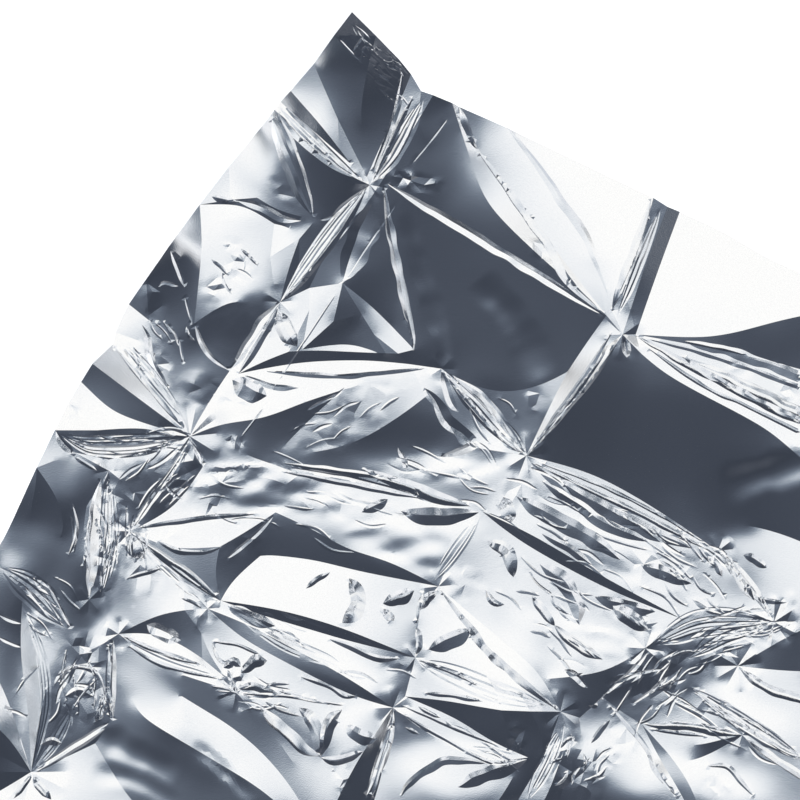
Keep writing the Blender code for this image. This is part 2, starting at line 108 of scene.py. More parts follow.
# Studio
CAMERA_DISTANCE = 12.0
CAMERA_REACH = 40.0
FLOOR_SIZE = 6.0
FLOOR_DROP = 0.0005
FLOOR_GLOW = 0.55
SENSOR = 36.0
LIGHT_SIDE = math.radians(105.0)
LEAST_CROSSING = 0.45

RIGHT = Vector((math.cos(SHEET_TURN), math.sin(SHEET_TURN), 0.0))
AWAY = Vector((-math.sin(SHEET_TURN), math.cos(SHEET_TURN), 0.0))
UP = Vector((0.0, 0.0, 1.0))
PICTURE_UP = AWAY * math.sin(LOOK_DOWN) + UP * math.cos(LOOK_DOWN)
TO_CAMERA = UP * math.sin(LOOK_DOWN) - AWAY * math.cos(LOOK_DOWN)
LIGHT_DIRECTION = RIGHT * math.cos(LIGHT_SIDE) + AWAY * math.sin(LIGHT_SIDE)
LIGHT_PIXELS = np.array((math.cos(LIGHT_SIDE), -math.sin(LIGHT_SIDE) * math.sin(LOOK_DOWN)))

# Small folds: how steep (a ridge is positive, a furrow negative), how wide in pixels, and where
CREASES = [
    # the free corner
    (0.30, 6, (403, 72), (397, 105), (386, 140), (371, 178)),
    (-0.30, 7, (413, 97), (400, 122), (386, 152), (374, 180)),
    (0.30, 5, (281, 103), (316, 137), (362, 182)),
    (-0.30, 6, (279, 108), (312, 141), (354, 177)),
    (0.30, 8, (276, 112), (310, 148), (352, 178)),
    (0.35, 7, (276, 112), (292, 143), (306, 183), (314, 218)),
    (-0.20, 10, (272, 118), (284, 155), (300, 195), (312, 216)),
    (0.30, 9, (238, 202), (262, 208), (282, 219), (302, 222)),
    (-0.40, 8, (213, 198), (226, 200), (240, 204)),
    (0.25, 5, (369, 187), (345, 205), (333, 217), (318, 222)),
    (-0.40, 7, (367, 190), (336, 238), (302, 282), (281, 303)),
    (0.12, 30, (372, 205), (356, 242), (343, 282)),
    (0.50, 9, (384, 186), (391, 240), (403, 295), (413, 340), (412, 353)),
    (0.35, 9, (383, 182), (420, 204), (480, 240), (540, 277), (603, 317)),
    # the eye at the left and the edge beside it
    (0.35, 5, (196, 324), (209, 352), (231, 371)),
    (0.40, 9, (281, 303), (262, 322), (245, 350), (231, 371)),
    (-0.35, 8, (279, 309), (258, 345), (240, 374)),
    (-0.35, 16, (280, 312), (288, 330), (298, 347)),
    (0.35, 5, (172, 252), (178, 265), (186, 288)),
    (0.30, 4, (160, 288), (166, 283), (180, 287)),
    (0.40, 8, (144, 325), (150, 338), (152, 352), (160, 372), (172, 392)),
    (0.25, 3, (186, 296), (194, 325)),
    (-0.50, 5, (116, 346), (150, 385), (186, 428)),
    (0.30, 8, (59, 431), (68, 443), (78, 453)),
    (-0.25, 5, (77, 456), (88, 462), (100, 470)),
    (0.40, 12, (104, 478), (97, 510), (94, 550), (93, 595)),
    # the long thin bright patch and the band over it
    (-0.30, 5, (262, 371), (300, 374), (345, 376), (390, 372), (430, 368)),
    (-0.25, 6, (243, 375), (276, 386), (300, 388)),
    (-0.30, 22, (234, 380), (250, 388), (268, 396)),
    (-0.30, 6, (282, 462), (340, 470), (400, 478)),
    (0.25, 12, (424, 388), (434, 400), (444, 420), (462, 434), (470, 443), (458, 450), (440, 456)),
    (0.25, 10, (441, 372), (450, 400), (458, 412)),
    # the light panels at the top
    (-0.45, 7, (459, 108), (468, 130), (476, 150)),
    (-0.45, 8, (476, 150), (500, 180), (525, 215), (550, 250), (566, 280), (603, 316)),
    (-0.12, 8, (506, 128), (525, 150), (542, 172), (560, 200), (584, 235), (600, 275), (608, 300)),
    (-0.50, 9, (650, 200), (636, 240), (617, 290), (610, 312)),
    # from one meeting of folds down to the next
    (-0.30, 5, (612, 330), (585, 372), (556, 412), (528, 452)),
    (-0.30, 4, (608, 345), (590, 372), (565, 405), (530, 452)),
    (-0.35, 5, (600, 358), (575, 392), (548, 428), (527, 454)),
    (-0.40, 4, (618, 338), (592, 378), (560, 415), (528, 453)),
    (0.30, 8, (621, 337), (624, 346), (625, 358)),
    (-0.45, 8, (452, 376), (484, 398), (508, 428), (524, 452)),
    (0.35, 5, (443, 370), (478, 402), (505, 432), (523, 453)),
    (-0.45, 5, (442, 371), (472, 405), (500, 435), (523, 454)),
    (-0.30, 5, (446, 376), (462, 398), (485, 425), (512, 447), (523, 454)),
    # round the meeting at the left
    (0.35, 5, (192, 438), (172, 470), (150, 500), (134, 528)),
    (0.35, 4, (190, 444), (180, 462), (160, 492), (137, 526)),
    (0.40, 4, (168, 484), (176, 493), (184, 498)),
    (0.40, 5, (192, 440), (202, 455), (205, 466)),
    (-0.40, 5, (137, 527), (200, 517), (262, 512)),
    (-0.45, 6, (158, 538), (180, 548), (204, 550), (224, 545)),
    (-0.40, 6, (136, 533), (165, 552), (195, 572), (222, 597)),
    (0.35, 5, (138, 536), (168, 562), (200, 585), (222, 598)),
    (-0.40, 14, (132, 533), (140, 545), (148, 556)),
    (-0.35, 5, (130, 576), (150, 570), (164, 566)),
    (-0.30, 3, (184, 596), (195, 599), (205, 606)),
    (0.25, 5, (276, 514), (255, 535), (228, 558)),
    # the long blue band across the middle
    (-0.35, 5, (280, 470), (340, 481), (400, 493), (425, 498)),
    (0.35, 5, (290, 467), (350, 477), (420, 495)),
    (-0.35, 9, (362, 511), (374, 504), (388, 498)),
    (-0.45, 16, (401, 510), (430, 514), (478, 511)),
    (-0.50, 12, (362, 468), (400, 481), (435, 494), (470, 505)),
    (0.30, 6, (398, 447), (404, 458), (407, 470)),
    # the light panel under it
    (-0.45, 16, (486, 539), (506, 546), (511, 556), (512, 575)),
    (-0.24, 16, (538, 562), (560, 576), (574, 598), (577, 622)),
    (-0.40, 9, (530, 593), (545, 610), (553, 623)),
    (-0.45, 10, (552, 622), (570, 637), (600, 656)),
    (-0.35, 6, (485, 588), (492, 598), (503, 602)),
    (-0.30, 13, (592, 594), (620, 600), (652, 609)),
    (-0.40, 14, (610, 603), (630, 616), (645, 627)),
    # the band beside the dark one, from its folds' meeting to the next
    (-0.45, 4, (530, 459), (600, 485), (660, 515), (708, 546)),
    (-0.45, 6, (530, 461), (590, 489), (645, 516), (704, 548)),
    (-0.22, 16, (530, 462), (580, 494), (640, 524), (690, 547)),
    (-0.25, 12, (540, 480), (580, 505), (600, 520), (645, 540)),
    (-0.25, 18, (515, 495), (560, 520), (590, 535), (618, 558)),
    (-0.25, 8, (540, 532), (570, 548), (590, 563)),
    (-0.50, 16, (502, 496), (508, 508), (510, 521)),
    (-0.30, 14, (638, 563), (662, 570), (688, 581)),
    (-0.25, 8, (704, 554), (712, 562), (718, 574)),
    (-0.50, 9, (718, 552), (732, 572), (750, 598)),
    (-0.45, 5, (716, 551), (740, 577), (765, 613)),
    (-0.45, 5, (722, 553), (747, 580), (768, 615)),
    (-0.35, 5, (745, 588), (757, 596), (782, 600)),
    (-0.30, 10, (739, 553), (750, 556), (762, 566)),
    # the meeting at the lower left, and the bag of film over it
    (0.30, 4, (4, 612), (27, 621)),
    (0.30, 4, (4, 634), (27, 644)),
    (0.35, 4, (10, 704), (22, 707), (35, 713)),
    (0.35, 4, (52, 580), (65, 605), (76, 626)),
    (-0.20, 10, (70, 692), (84, 686), (98, 692)),
    (-0.35, 5, (58, 682), (75, 663), (100, 668), (108, 690), (104, 715)),
    (-0.45, 10, (108, 690), (104, 705), (100, 717)),
    (-0.40, 7, (47, 739), (57, 735), (67, 738)),
    (0.35, 4, (78, 680), (90, 681), (98, 684)),
    (-0.55, 5, (113, 640), (111, 680), (114, 716)),
    (0.45, 6, (117, 637), (116, 680), (117, 716)),
    (0.40, 5, (40, 764), (80, 738), (115, 717)),
    (-0.45, 5, (42, 766), (80, 743), (112, 722)),
    (-0.50, 5, (38, 768), (30, 778), (20, 792)),
    (-0.50, 8, (39, 769), (47, 780), (57, 793)),
    # the leaf and the crumpled patch beside it
    (0.45, 16, (150, 622), (165, 628), (184, 637)),
    (-0.50, 5, (124, 632), (160, 647), (203, 661)),
    (-0.40, 4, (128, 640), (165, 661), (226, 676)),
    (0.40, 5, (230, 666), (236, 680), (240, 690)),
    (-0.50, 4, (214, 638), (240, 641), (266, 653)),
    (-0.50, 4, (215, 640), (222, 655), (232, 661)),
    (-0.50, 9, (226, 664), (236, 657), (243, 663)),
    (-0.50, 12, (243, 669), (255, 658), (269, 657)),
    (-0.50, 9, (240, 685), (256, 681), (280, 690)),
    (-0.40, 4, (240, 689), (290, 692), (332, 700)),
    (-0.40, 4, (278, 686), (310, 695), (347, 701)),
    (-0.35, 5, (300, 672), (330, 682), (345, 692), (360, 692)),
    # the strips over it
    (-0.35, 14, (230, 603), (252, 612), (277, 623)),
    (-0.40, 7, (328, 635), (350, 642), (375, 653), (400, 655)),
    # the fan under it
    (-0.50, 12, (262, 703), (285, 722), (305, 742), (323, 751)),
    (-0.35, 12, (343, 705), (331, 713), (325, 732), (322, 751)),
    (-0.35, 12, (300, 703), (311, 711), (319, 728), (321, 751)),
    (-0.55, 9, (322, 752), (338, 754), (364, 746)),
    (-0.30, 15, (346, 720), (360, 730), (378, 734)),
    (0.35, 5, (394, 705), (384, 735), (366, 792)),
    (-0.50, 6, (394, 704), (389, 735), (378, 770), (371, 793)),
    # the dark wedge and the light panels round it
    (-0.40, 4, (396, 706), (440, 731), (490, 757), (523, 754)),
    (-0.40, 4, (418, 702), (440, 713)),
    (-0.35, 4, (400, 700), (450, 721), (500, 742)),
    (-0.40, 4, (405, 722), (419, 729)),
    (-0.30, 9, (400, 791), (408, 778), (432, 760), (450, 754), (487, 758)),
    (-0.40, 16, (457, 781), (480, 768), (505, 760), (525, 754)),
    (0.45, 8, (562, 666), (572, 670), (585, 684)),
    # the bright plate
    (-0.80, 16, (350, 576), (357, 592), (356, 605), (343, 620)),
    (-0.55, 15, (383, 601), (395, 595), (414, 588)),
    (-0.55, 8, (384, 606), (390, 612), (394, 618)),
    (-0.55, 9, (420, 607), (426, 596), (437, 588)),
    (-0.40, 4, (424, 588), (418, 605), (417, 620)),
    (-0.40, 7, (416, 624), (418, 640), (416, 651)),
    (-0.40, 16, (428, 646), (448, 635), (470, 626)),
    (-0.45, 5, (307, 586), (318, 577), (331, 570)),
    (-0.40, 4, (418, 656), (460, 672), (478, 683)),
    (-0.40, 5, (422, 689), (450, 691), (482, 697)),
    (-1.00, 8, (440, 588), (468, 622), (490, 650), (556, 706)),
    # the dark crumpled part at the right and the folds below it
    (-0.55, 5, (606, 700), (625, 720), (645, 745), (652, 765), (674, 792)),
    (-0.25, 5, (588, 738), (598, 723), (607, 715)),
    (0.45, 4, (628, 700), (650, 685), (666, 671)),
    (0.40, 5, (600, 692), (630, 665), (645, 648)),
    (0.35, 4, (605, 681), (640, 668), (662, 665)),
    (-0.55, 9, (640, 719), (690, 721), (737, 730)),
    (-0.50, 4, (645, 724), (690, 729), (703, 732)),
    (-0.40, 5, (700, 760), (722, 760), (735, 775), (749, 791)),
    # hairlines at the free corner and across the panels
    (0.22, 2.6, (336, 36), (348, 49), (358, 59), (363, 64)),
    (0.22, 2.8, (361, 62), (363, 49), (369, 48), (378, 56), (388, 63), (396, 60), (400, 58)),
    (0.20, 2.4, (366, 30), (362, 38), (352, 53)),
    (0.20, 2.4, (452, 114), (430, 142), (408, 170)),
    (0.16, 2.2, (400, 200), (370, 243), (343, 285)),
    (-0.16, 2.2, (343, 285), (305, 342), (270, 396)),
    (-0.16, 2.2, (268, 404), (240, 440)),
]

# The same, but open at the far end, where they run off the sheet or into another fold
OPEN_CREASES = [
    # the part that the picture doesn't show, with plain folds only
    (-0.19, 17, (830, 668), (872, 742), (910, 822)),
    (0.17, 20, (850, 570), (866, 620), (830, 668)),
    (-0.19, 14, (900, 466), (870, 520), (850, 570)),
    (0.16, 17, (900, 404), (904, 436), (900, 466)),
    (-0.16, 20, (900, 466), (965, 500), (1040, 532)),
    (0.15, 22, (900, 404), (985, 420), (1070, 452)),
    (-0.17, 17, (850, 570), (910, 640), (980, 716)),
    (0.15, 14, (910, 822), (850, 860), (790, 1002)),
    (-0.17, 20, (706, 850), (800, 835), (910, 822)),
    (0.16, 17, (706, 850), (672, 864), (636, 870)),
    (-0.17, 17, (706, 850), (694, 900), (690, 940)),
    (0.15, 20, (690, 940), (640, 1020), (566, 1144)),
    (-0.16, 17, (690, 940), (720, 1020), (722, 1100)),
    (0.15, 17, (636, 870), (590, 960), (478, 1096)),
    (-0.17, 17, (530, 850), (510, 950), (478, 1096)),
    (0.16, 20, (340, 850), (420, 930), (478, 1096)),
    (-0.16, 17, (340, 850), (330, 920), (300, 1004)),
    (0.15, 17, (340, 850), (250, 900), (222, 966)),
    (-0.16, 17, (150, 808), (170, 880), (222, 966)),
    (0.15, 14, (150, 808), (60, 830), (-40, 806)),
    (-0.15, 14, (-40, 604), (-60, 700), (-100, 780)),
    (0.14, 14, (478, 850), (420, 846), (340, 850)),
    (-0.14, 17, (930, 326), (1000, 360), (1100, 400)),
    (0.14, 17, (800, 1002), (740, 960), (690, 940)),
    # folds that run out of the picture
    (-0.55, 8, (634, 336), (690, 366), (746, 396), (794, 419)),
    (-0.50, 14, (680, 357), (740, 384), (794, 411)),
    (-0.40, 4, (640, 344), (700, 385), (740, 404), (794, 430)),
    (-0.20, 10, (680, 341), (720, 349), (760, 362), (794, 374)),
    (-0.25, 5, (640, 338), (690, 350), (740, 366), (794, 386)),
    (-0.60, 7, (690, 686), (740, 720), (796, 753)),
    (-0.60, 7, (740, 733), (765, 750), (796, 770)),
    (-0.50, 9, (735, 665), (760, 682), (796, 695)),
]

# Bundles of side-by-side folds pinched together at both ends: how steep, how many, how wide in all, where
BANDS = [
    (0.21, 4, 16, (424, 98), (408, 128), (392, 158), (372, 184)),
    (0.15, 4, 12, (368, 186), (327, 238), (281, 303)),
    (0.13, 4, 12, (660, 206), (641, 252), (615, 318)),
    (0.13, 4, 14, (120, 338), (150, 372), (187, 420)),
    (0.38, 6, 24, (186, 437), (140, 444), (90, 444), (62, 434)),
    (0.19, 6, 22, (112, 472), (113, 510), (112, 550), (104, 598)),
    (0.13, 4, 10, (136, 534), (165, 565), (205, 600)),
    (-0.13, 4, 14, (480, 513), (455, 548), (432, 580)),
    (0.21, 8, 30, (766, 619), (730, 618), (690, 622), (648, 642)),
    (0.21, 6, 20, (766, 621), (720, 632), (684, 655)),
    (0.13, 4, 12, (28, 603), (45, 650), (50, 700), (38, 764)),
    (0.13, 6, 30, (4, 565), (40, 590), (72, 626)),
    (0.15, 4, 14, (40, 762), (60, 735), (78, 700)),
    (0.13, 5, 14, (126, 634), (165, 652), (226, 673)),
    (0.13, 5, 18, (232, 606), (290, 640), (330, 656), (354, 674)),
    (0.12, 7, 26, (415, 656), (450, 670), (500, 690), (545, 702)),
    (0.15, 5, 16, (562, 718), (545, 755), (524, 796)),
    (-0.30, 5, 18, (684, 682), (740, 718), (800, 756)),
]

# Low soft swellings of the film, without an edge
SWELLS = [
    (0.16, 44, (716, 486), (752, 476), (790, 466), (830, 456)),
    (0.06, 24, (404, 215), (420, 270), (433, 310), (443, 345), (444, 368)),
    (0.06, 40, (480, 280), (520, 330), (540, 380)),
    (0.07, 34, (94, 724), (135, 746), (180, 772)),
    (0.07, 28, (96, 768), (140, 774), (184, 800)),
    (0.07, 20, (196, 738), (225, 762), (256, 794)),
]

# Fans of folds round a spot: centre, radius, how many, how steep
STARS = [
    ((621, 335), 26, 10, 0.15),
    ((192, 436), 34, 14, 0.25),
    ((370, 186), 18, 10, 0.20),
    ((281, 303), 18, 8, 0.15),
    ((525, 455), 24, 12, 0.20),
    ((441, 369), 16, 8, 0.15),
    ((133, 530), 18, 10, 0.25),
    ((223, 598), 14, 8, 0.15),
    ((714, 549), 18, 10, 0.20),
    ((769, 619), 26, 12, 0.30),
    ((112, 470), 18, 9, 0.20),
    ((37, 766), 40, 14, 0.20),
    ((393, 703), 22, 10, 0.20),
    ((438, 584), 18, 10, 0.20),
    ((558, 707), 22, 10, 0.20),
    ((238, 688), 20, 10, 0.25),
    ((210, 606), 14, 8, 0.20),
    ((415, 654), 16, 8, 0.20),
    ((733, 662), 26, 12, 0.25),
    ((737, 730), 20, 10, 0.20),
    ((642, 645), 22, 10, 0.25),
    ((93, 597), 16, 8, 0.25),
    ((122, 631), 16, 8, 0.20),
    ((910, 822), 40, 10, 0.20),
    ((706, 850), 34, 10, 0.20),
    ((340, 850), 34, 10, 0.20),
    ((900, 466), 34, 10, 0.20),
    ((850, 570), 30, 10, 0.20),
    ((690, 940), 30, 9, 0.18),
    ((478, 1096), 30, 8, 0.18),
    ((-40, 604), 24, 8, 0.18),
]

# Crumpled patches: centre, radii, turn, size of a face, how stretched, how steep
FACETS = [
    ((284, 193), (24, 10), 35, 7, 1.5, 0.19),
    ((240, 268), (20, 19), 30, 8, 1.3, 0.15),
    ((234, 245), (10, 11), 50, 7, 1.2, 0.15),
    ((215, 289), (16, 15), -40, 8, 1.3, 0.15),
    ((414, 182), (34, 11), 8, 7, 1.6, 0.36),
    ((238, 325), (41, 28), 20, 12, 1.3, 0.07),
    ((152, 296), (17, 28), -20, 10, 1.5, 0.22),
    ((160, 368), (17, 32), -30, 8, 1.3, 0.19),
    ((203, 388), (26, 18), 25, 8, 1.5, 0.19),
    ((75, 405), (10, 20), 10, 9, 1.0, 0.15),
    ((95, 443), (29, 12), 10, 8, 1.6, 0.14),
    ((116, 508), (16, 52), 4, 9, 1.0, 0.15),
    ((110, 565), (17, 52), 8, 9, 1.0, 0.19),
    ((150, 485), (26, 52), 35, 9, 1.2, 0.15),
    ((188, 470), (18, 32), 20, 9, 1.2, 0.22),
    ((176, 533), (10, 12), 0, 6, 1.2, 0.12),
    ((145, 575), (24, 20), -15, 9, 1.3, 0.19),
    ((250, 539), (36, 11), -40, 8, 1.6, 0.17),
    ((225, 490), (46, 28), -30, 9, 1.6, 0.14),
    ((290, 481), (74, 21), 12, 9, 2.0, 0.11),
    ((345, 506), (65, 14), 5, 11, 2.0, 0.12),
    ((418, 492), (8, 9), 0, 5, 1.0, 0.25),
    ((410, 545), (46, 25), 10, 12, 2.0, 0.06),
    ((464, 582), (26, 19), 20, 9, 1.3, 0.15),
    ((628, 610), (41, 21), 25, 10, 1.6, 0.14),
    ((520, 487), (31, 20), -60, 8, 1.8, 0.14),
    ((665, 572), (62, 30), 22, 11, 1.8, 0.17),
    ((770, 628), (22, 14), 0, 7, 1.2, 0.19),
    ((786, 608), (10, 22), 0, 8, 1.0, 0.19),
    ((535, 402), (14, 19), -30, 8, 1.5, 0.15),
    ((540, 252), (19, 10), 50, 7, 2.0, 0.19),
    ((738, 368), (18, 9), 20, 6, 1.5, 0.15),
    ((784, 390), (16, 12), 30, 8, 1.3, 0.19),
    ((350, 405), (72, 28), -15, 12, 1.6, 0.09),
    ((330, 435), (60, 18), -12, 10, 1.8, 0.12),
    ((236, 405), (26, 15), 10, 9, 1.4, 0.14),
    ((238, 442), (12, 10), 0, 6, 1.0, 0.22),
    ((48, 602), (26, 35), 40, 12, 1.6, 0.12),
    ((90, 650), (29, 25), 0, 8, 1.1, 0.28),
    ((82, 690), (38, 48), 10, 13, 1.3, 0.12),
    ((236, 672), (17, 18), 0, 7, 1.0, 0.25),
    ((202, 615), (8, 15), 15, 6, 1.0, 0.15),
    ((342, 772), (11, 25), 0, 7, 1.0, 0.19),
    ((514, 732), (16, 19), -30, 7, 1.6, 0.28),
    ((572, 765), (34, 45), 0, 10, 1.0, 0.25),
    ((618, 730), (26, 18), 20, 9, 1.3, 0.12),
    ((608, 752), (14, 11), 0, 7, 1.0, 0.19),
    ((652, 672), (62, 32), -20, 10, 1.2, 0.22),
    ((712, 650), (48, 18), -15, 9, 1.8, 0.19),
    ((700, 700), (48, 20), 35, 10, 1.6, 0.15),
    ((712, 780), (19, 10), 0, 7, 1.3, 0.19),
    ((392, 664), (19, 11), 0, 7, 1.2, 0.15),
    ((545, 755), (12, 32), 20, 8, 1.0, 0.15),
]

# Rippled patches: centre, radii, turn, wavelength, how stretched, how steep
RIPPLES = [
    ((600, 532), (100, 40), 28, 34, 2.5, 0.10),
    ((270, 488), (95, 28), 8, 26, 2.5, 0.08),
    ((400, 540), (62, 26), 10, 26, 2.0, 0.08),
    ((600, 640), (50, 18), 15, 26, 2.0, 0.08),
    ((540, 640), (64, 40), 35, 40, 2.0, 0.06),
    ((440, 466), (80, 16), -4, 28, 2.0, 0.08),
]

# Hairline folds strewn over a patch: how many, centre, radii, turn, spread of turns, length, width, slope
HAIRS = [
    (26, (374, 52), (36, 13), 44, 2, 24, 2.4, 0.15),
    (12, (384, 84), (26, 12), 40, 2, 22, 2.4, 0.11),
    (16, (300, 500), (110, 40), 12, 14, 46, 3.4, 0.18),
    (10, (430, 480), (60, 26), 20, 14, 40, 3.4, 0.16),
    (24, (590, 540), (100, 50), 28, 12, 56, 3.4, 0.20),
    (14, (560, 620), (60, 40), 30, 20, 34, 3.4, 0.16),
    (16, (690, 565), (50, 30), 40, 14, 40, 3.4, 0.25),
    (14, (715, 630), (55, 22), -14, 12, 50, 3.2, 0.25),
    (18, (650, 680), (50, 30), -35, 25, 34, 3.4, 0.33),
    (14, (110, 540), (18, 60), 92, 14, 50, 3.4, 0.29),
    (12, (50, 600), (30, 34), 48, 10, 44, 3.4, 0.15),
    (12, (80, 690), (28, 50), 100, 30, 36, 3.4, 0.29),
    (10, (330, 640), (80, 24), 25, 12, 44, 3.2, 0.16),
    (10, (260, 690), (40, 16), 10, 20, 36, 3.2, 0.25),
    (8, (470, 735), (50, 14), 25, 8, 46, 3.2, 0.16),
    (12, (580, 760), (24, 30), -60, 40, 24, 3.4, 0.33),
    (10, (720, 720), (60, 16), 32, 6, 60, 3.2, 0.25),
    (10, (150, 442), (40, 12), 4, 8, 40, 3.2, 0.25),
    (12, (160, 480), (30, 30), -45, 16, 40, 3.4, 0.29),
    (10, (350, 410), (60, 24), -28, 16, 36, 3.4, 0.20),
    (8, (490, 430), (30, 30), 50, 12, 40, 3.2, 0.16),
    (8, (170, 340), (16, 50), 70, 20, 26, 3, 0.25),
    (6, (240, 270), (20, 20), 60, 30, 20, 3, 0.25),
]

# Panels that lean to the light (positive) or from it more than the sheet: slope, centre, radii, turn
TILTS = [
    (0.04, (360, 85), (40, 66), 0),
    (0.10, (314, 122), (12, 46), 22),
    (0.28, (265, 150), (16, 38), 18),
    (0.08, (410, 150), (40, 50), 0),
    (0.16, (238, 206), (28, 12), 5),
    (-0.18, (500, 408), (60, 28), 10),
    (-0.16, (715, 570), (50, 30), 30),
    (-0.15, (690, 665), (54, 36), -30),
    (0.14, (735, 700), (66, 18), 30),
    (0.26, (455, 765), (70, 34), 12),
    (0.24, (620, 755), (54, 32), 52),
    (0.26, (310, 648), (110, 22), 22),
    (0.18, (395, 510), (100, 34), 8),
    (0.26, (420, 463), (86, 18), 4),
    (0.16, (225, 440), (30, 12), 0),
    (0.20, (60, 468), (40, 40), 0),
    (0.24, (25, 540), (34, 36), 0),
    (-0.24, (182, 290), (28, 84), -12),
    (-0.14, (216, 396), (24, 18), 0),
    (-0.22, (92, 590), (24, 44), 10),
    (-0.22, (16, 690), (14, 56), -8),
    (0.16, (50, 650), (16, 60), -10),
    (0.20, (29, 680), (8, 70), 0),
    (-0.14, (126, 700), (14, 34), -20),
    (-0.12, (190, 752), (56, 20), 35),
    (-0.26, (300, 725), (62, 20), 28),
    (-0.24, (372, 726), (16, 28), 20),
    (-0.18, (250, 490), (72, 20), 0),
    (-0.22, (150, 490), (32, 40), -30),
    (0.12, (590, 640), (60, 24), 30),
    (-0.30, (347, 310), (16, 22), 0),
    (0.16, (400, 556), (62, 16), 12),
    (0.18, (700, 768), (70, 22), 15),
    (0.10, (745, 650), (30, 40), 0),
]


def top_surface(node):
    """Points and triangles of a node's upper side."""
    work = bmesh.new()
    work.from_mesh(node.data)
    bmesh.ops.remove_doubles(work, verts=work.verts, dist=TINY)
    bmesh.ops.triangulate(work, faces=work.faces)
    upper = [face for face in work.faces if face.normal.z > UPPER_SIDE]
    numbers = {}
    for face in upper:
        for vert in face.verts:
            numbers.setdefault(vert, len(numbers))
    points = np.array([vert.co[:] for vert in numbers])
    faces = np.array([[numbers[vert] for vert in face.verts] for face in upper])
    work.free()
    return points, faces


def face_normals(points, faces):
    a, b, c = points[faces[:, 0]], points[faces[:, 1]], points[faces[:, 2]]
    normals = np.cross(b - a, c - a)
    return normals / np.linalg.norm(normals, axis=1)[:, None]


def edge_table(faces):
    """Each edge once, its two opposite corners (-1 where there is none) and each face's three edges."""
    count = len(faces)
    ends = np.vstack((faces[:, [0, 1]], faces[:, [1, 2]], faces[:, [2, 0]]))
    opposite = np.concatenate((faces[:, 2], faces[:, 0], faces[:, 1]))
    owner = np.tile(np.arange(count), 3)
    edges, inverse = np.unique(np.sort(ends, axis=1), axis=0, return_inverse=True)
    inverse = inverse.reshape(-1)
    across = np.full((len(edges), 2), -1)
    sides = np.full((len(edges), 2), -1)
    order = np.argsort(inverse, kind="stable")
    first = np.unique(inverse[order], return_index=True)[1]
    across[:, 0] = opposite[order[first]]
    sides[:, 0] = owner[order[first]]
    last = np.append(first[1:], len(order)) - 1
    paired = last > first
    across[paired, 1] = opposite[order[last[paired]]]
    sides[paired, 1] = owner[order[last[paired]]]
    return edges, across, sides, inverse.reshape(3, count).T


def bent_edges(points, faces, sides, angle):
    """Whether the sheet bends by more than an angle at each edge, or ends there."""
    normals = face_normals(points, faces)
    bend = np.einsum("ij,ij->i", normals[sides[:, 0]], normals[sides[:, 1]])
    return (bend < math.cos(angle)) | (sides[:, 1] < 0)


def find_creases(points, faces):
    """The folds and cut edges: bent edges that carry on into another one, not lone bumps."""
    edges, _, sides, _ = edge_table(faces)
    rim = sides[:, 1] < 0
    strong = bent_edges(points, faces, sides, FOLD_ANGLE)
    kept = bent_edges(points, faces, sides, CREASE_ANGLE)
    for _ in range(CREASE_ROUNDS):
        at = {}
        for index in np.nonzero(kept)[0]:
            for corner in edges[index]:
                at.setdefault(int(corner), []).append(int(index))
        stays = rim.copy()
        for index in np.nonzero(kept & ~rim)[0]:
            joined = 0
            for corner, other in (edges[index], edges[index][::-1]):
                inward = points[corner] - points[other]
                for fellow in at[int(corner)]:
                    if fellow == index:
                        continue
                    far = edges[fellow].sum() - corner
                    onward = points[far] - points[corner]
                    turn = inward @ onward / np.linalg.norm(inward) / np.linalg.norm(onward)
                    if rim[fellow] or turn > math.cos(CREASE_TURN):
                        joined += 1
                        break
            stays[index] = joined == 2 or (joined == 1 and strong[index])
        kept = stays
    return {tuple(edge) for edge in edges[kept].tolist()}


def refine(points, faces, creased):
    """One round of Loop subdivision that keeps the creased edges and the sheet's corners crisp."""
    edges, across, sides, face_edges = edge_table(faces)
    creased = np.array([tuple(edge) in creased for edge in edges.tolist()]) | (sides[:, 1] < 0)
    middles = (points[edges[:, 0]] + points[edges[:, 1]]) * 0.5
    smooth = ~creased
    middles[smooth] = (middles[smooth] * 0.75
                       + (points[across[smooth, 0]] + points[across[smooth, 1]]) * 0.125)
    count = len(points)
    crease_count = np.zeros(count)
    crease_sum = np.zeros((count, 3))
    turn_sum = np.zeros((count, 3))
    ring_count = np.zeros(count)
    ring_sum = np.zeros((count, 3))
    for here, there in ((0, 1), (1, 0)):
        reach = points[edges[:, there]] - points[edges[:, here]]
        reach /= np.linalg.norm(reach, axis=1)[:, None]
        np.add.at(ring_count, edges[:, here], 1)
        np.add.at(ring_sum, edges[:, here], points[edges[:, there]])
        np.add.at(crease_count, edges[creased, here], 1)
        np.add.at(crease_sum, edges[creased, here], points[edges[creased, there]])
        np.add.at(turn_sum, edges[creased, here], reach[creased])
    share = (0.625 - (0.375 + 0.25 * np.cos(2.0 * np.pi / ring_count)) ** 2)[:, None]
    moved = points * (1.0 - share) + ring_sum / ring_count[:, None] * share
    along = crease_count == 2
    moved[along] = points[along] * 0.75 + crease_sum[along] * 0.125
    corner = (crease_count > 2) | (along & (np.linalg.norm(turn_sum, axis=1)
                                            > 2.0 * math.sin(CORNER_TURN / 2.0)))
    moved[corner] = points[corner]
    middle = face_edges + count
    ab, bc, ca = middle[:, 0], middle[:, 1], middle[:, 2]
    a, b, c = faces[:, 0], faces[:, 1], faces[:, 2]
    finer = np.vstack((np.column_stack((a, ab, ca)), np.column_stack((ab, b, bc)),
                       np.column_stack((ca, bc, c)), np.column_stack((ab, bc, ca))))
    halves = set()
    for index in np.nonzero(creased)[0]:
        halves.add((int(edges[index, 0]), int(index) + count))
        halves.add((int(edges[index, 1]), int(index) + count))
    return np.vstack((moved, middles)), finer, halves


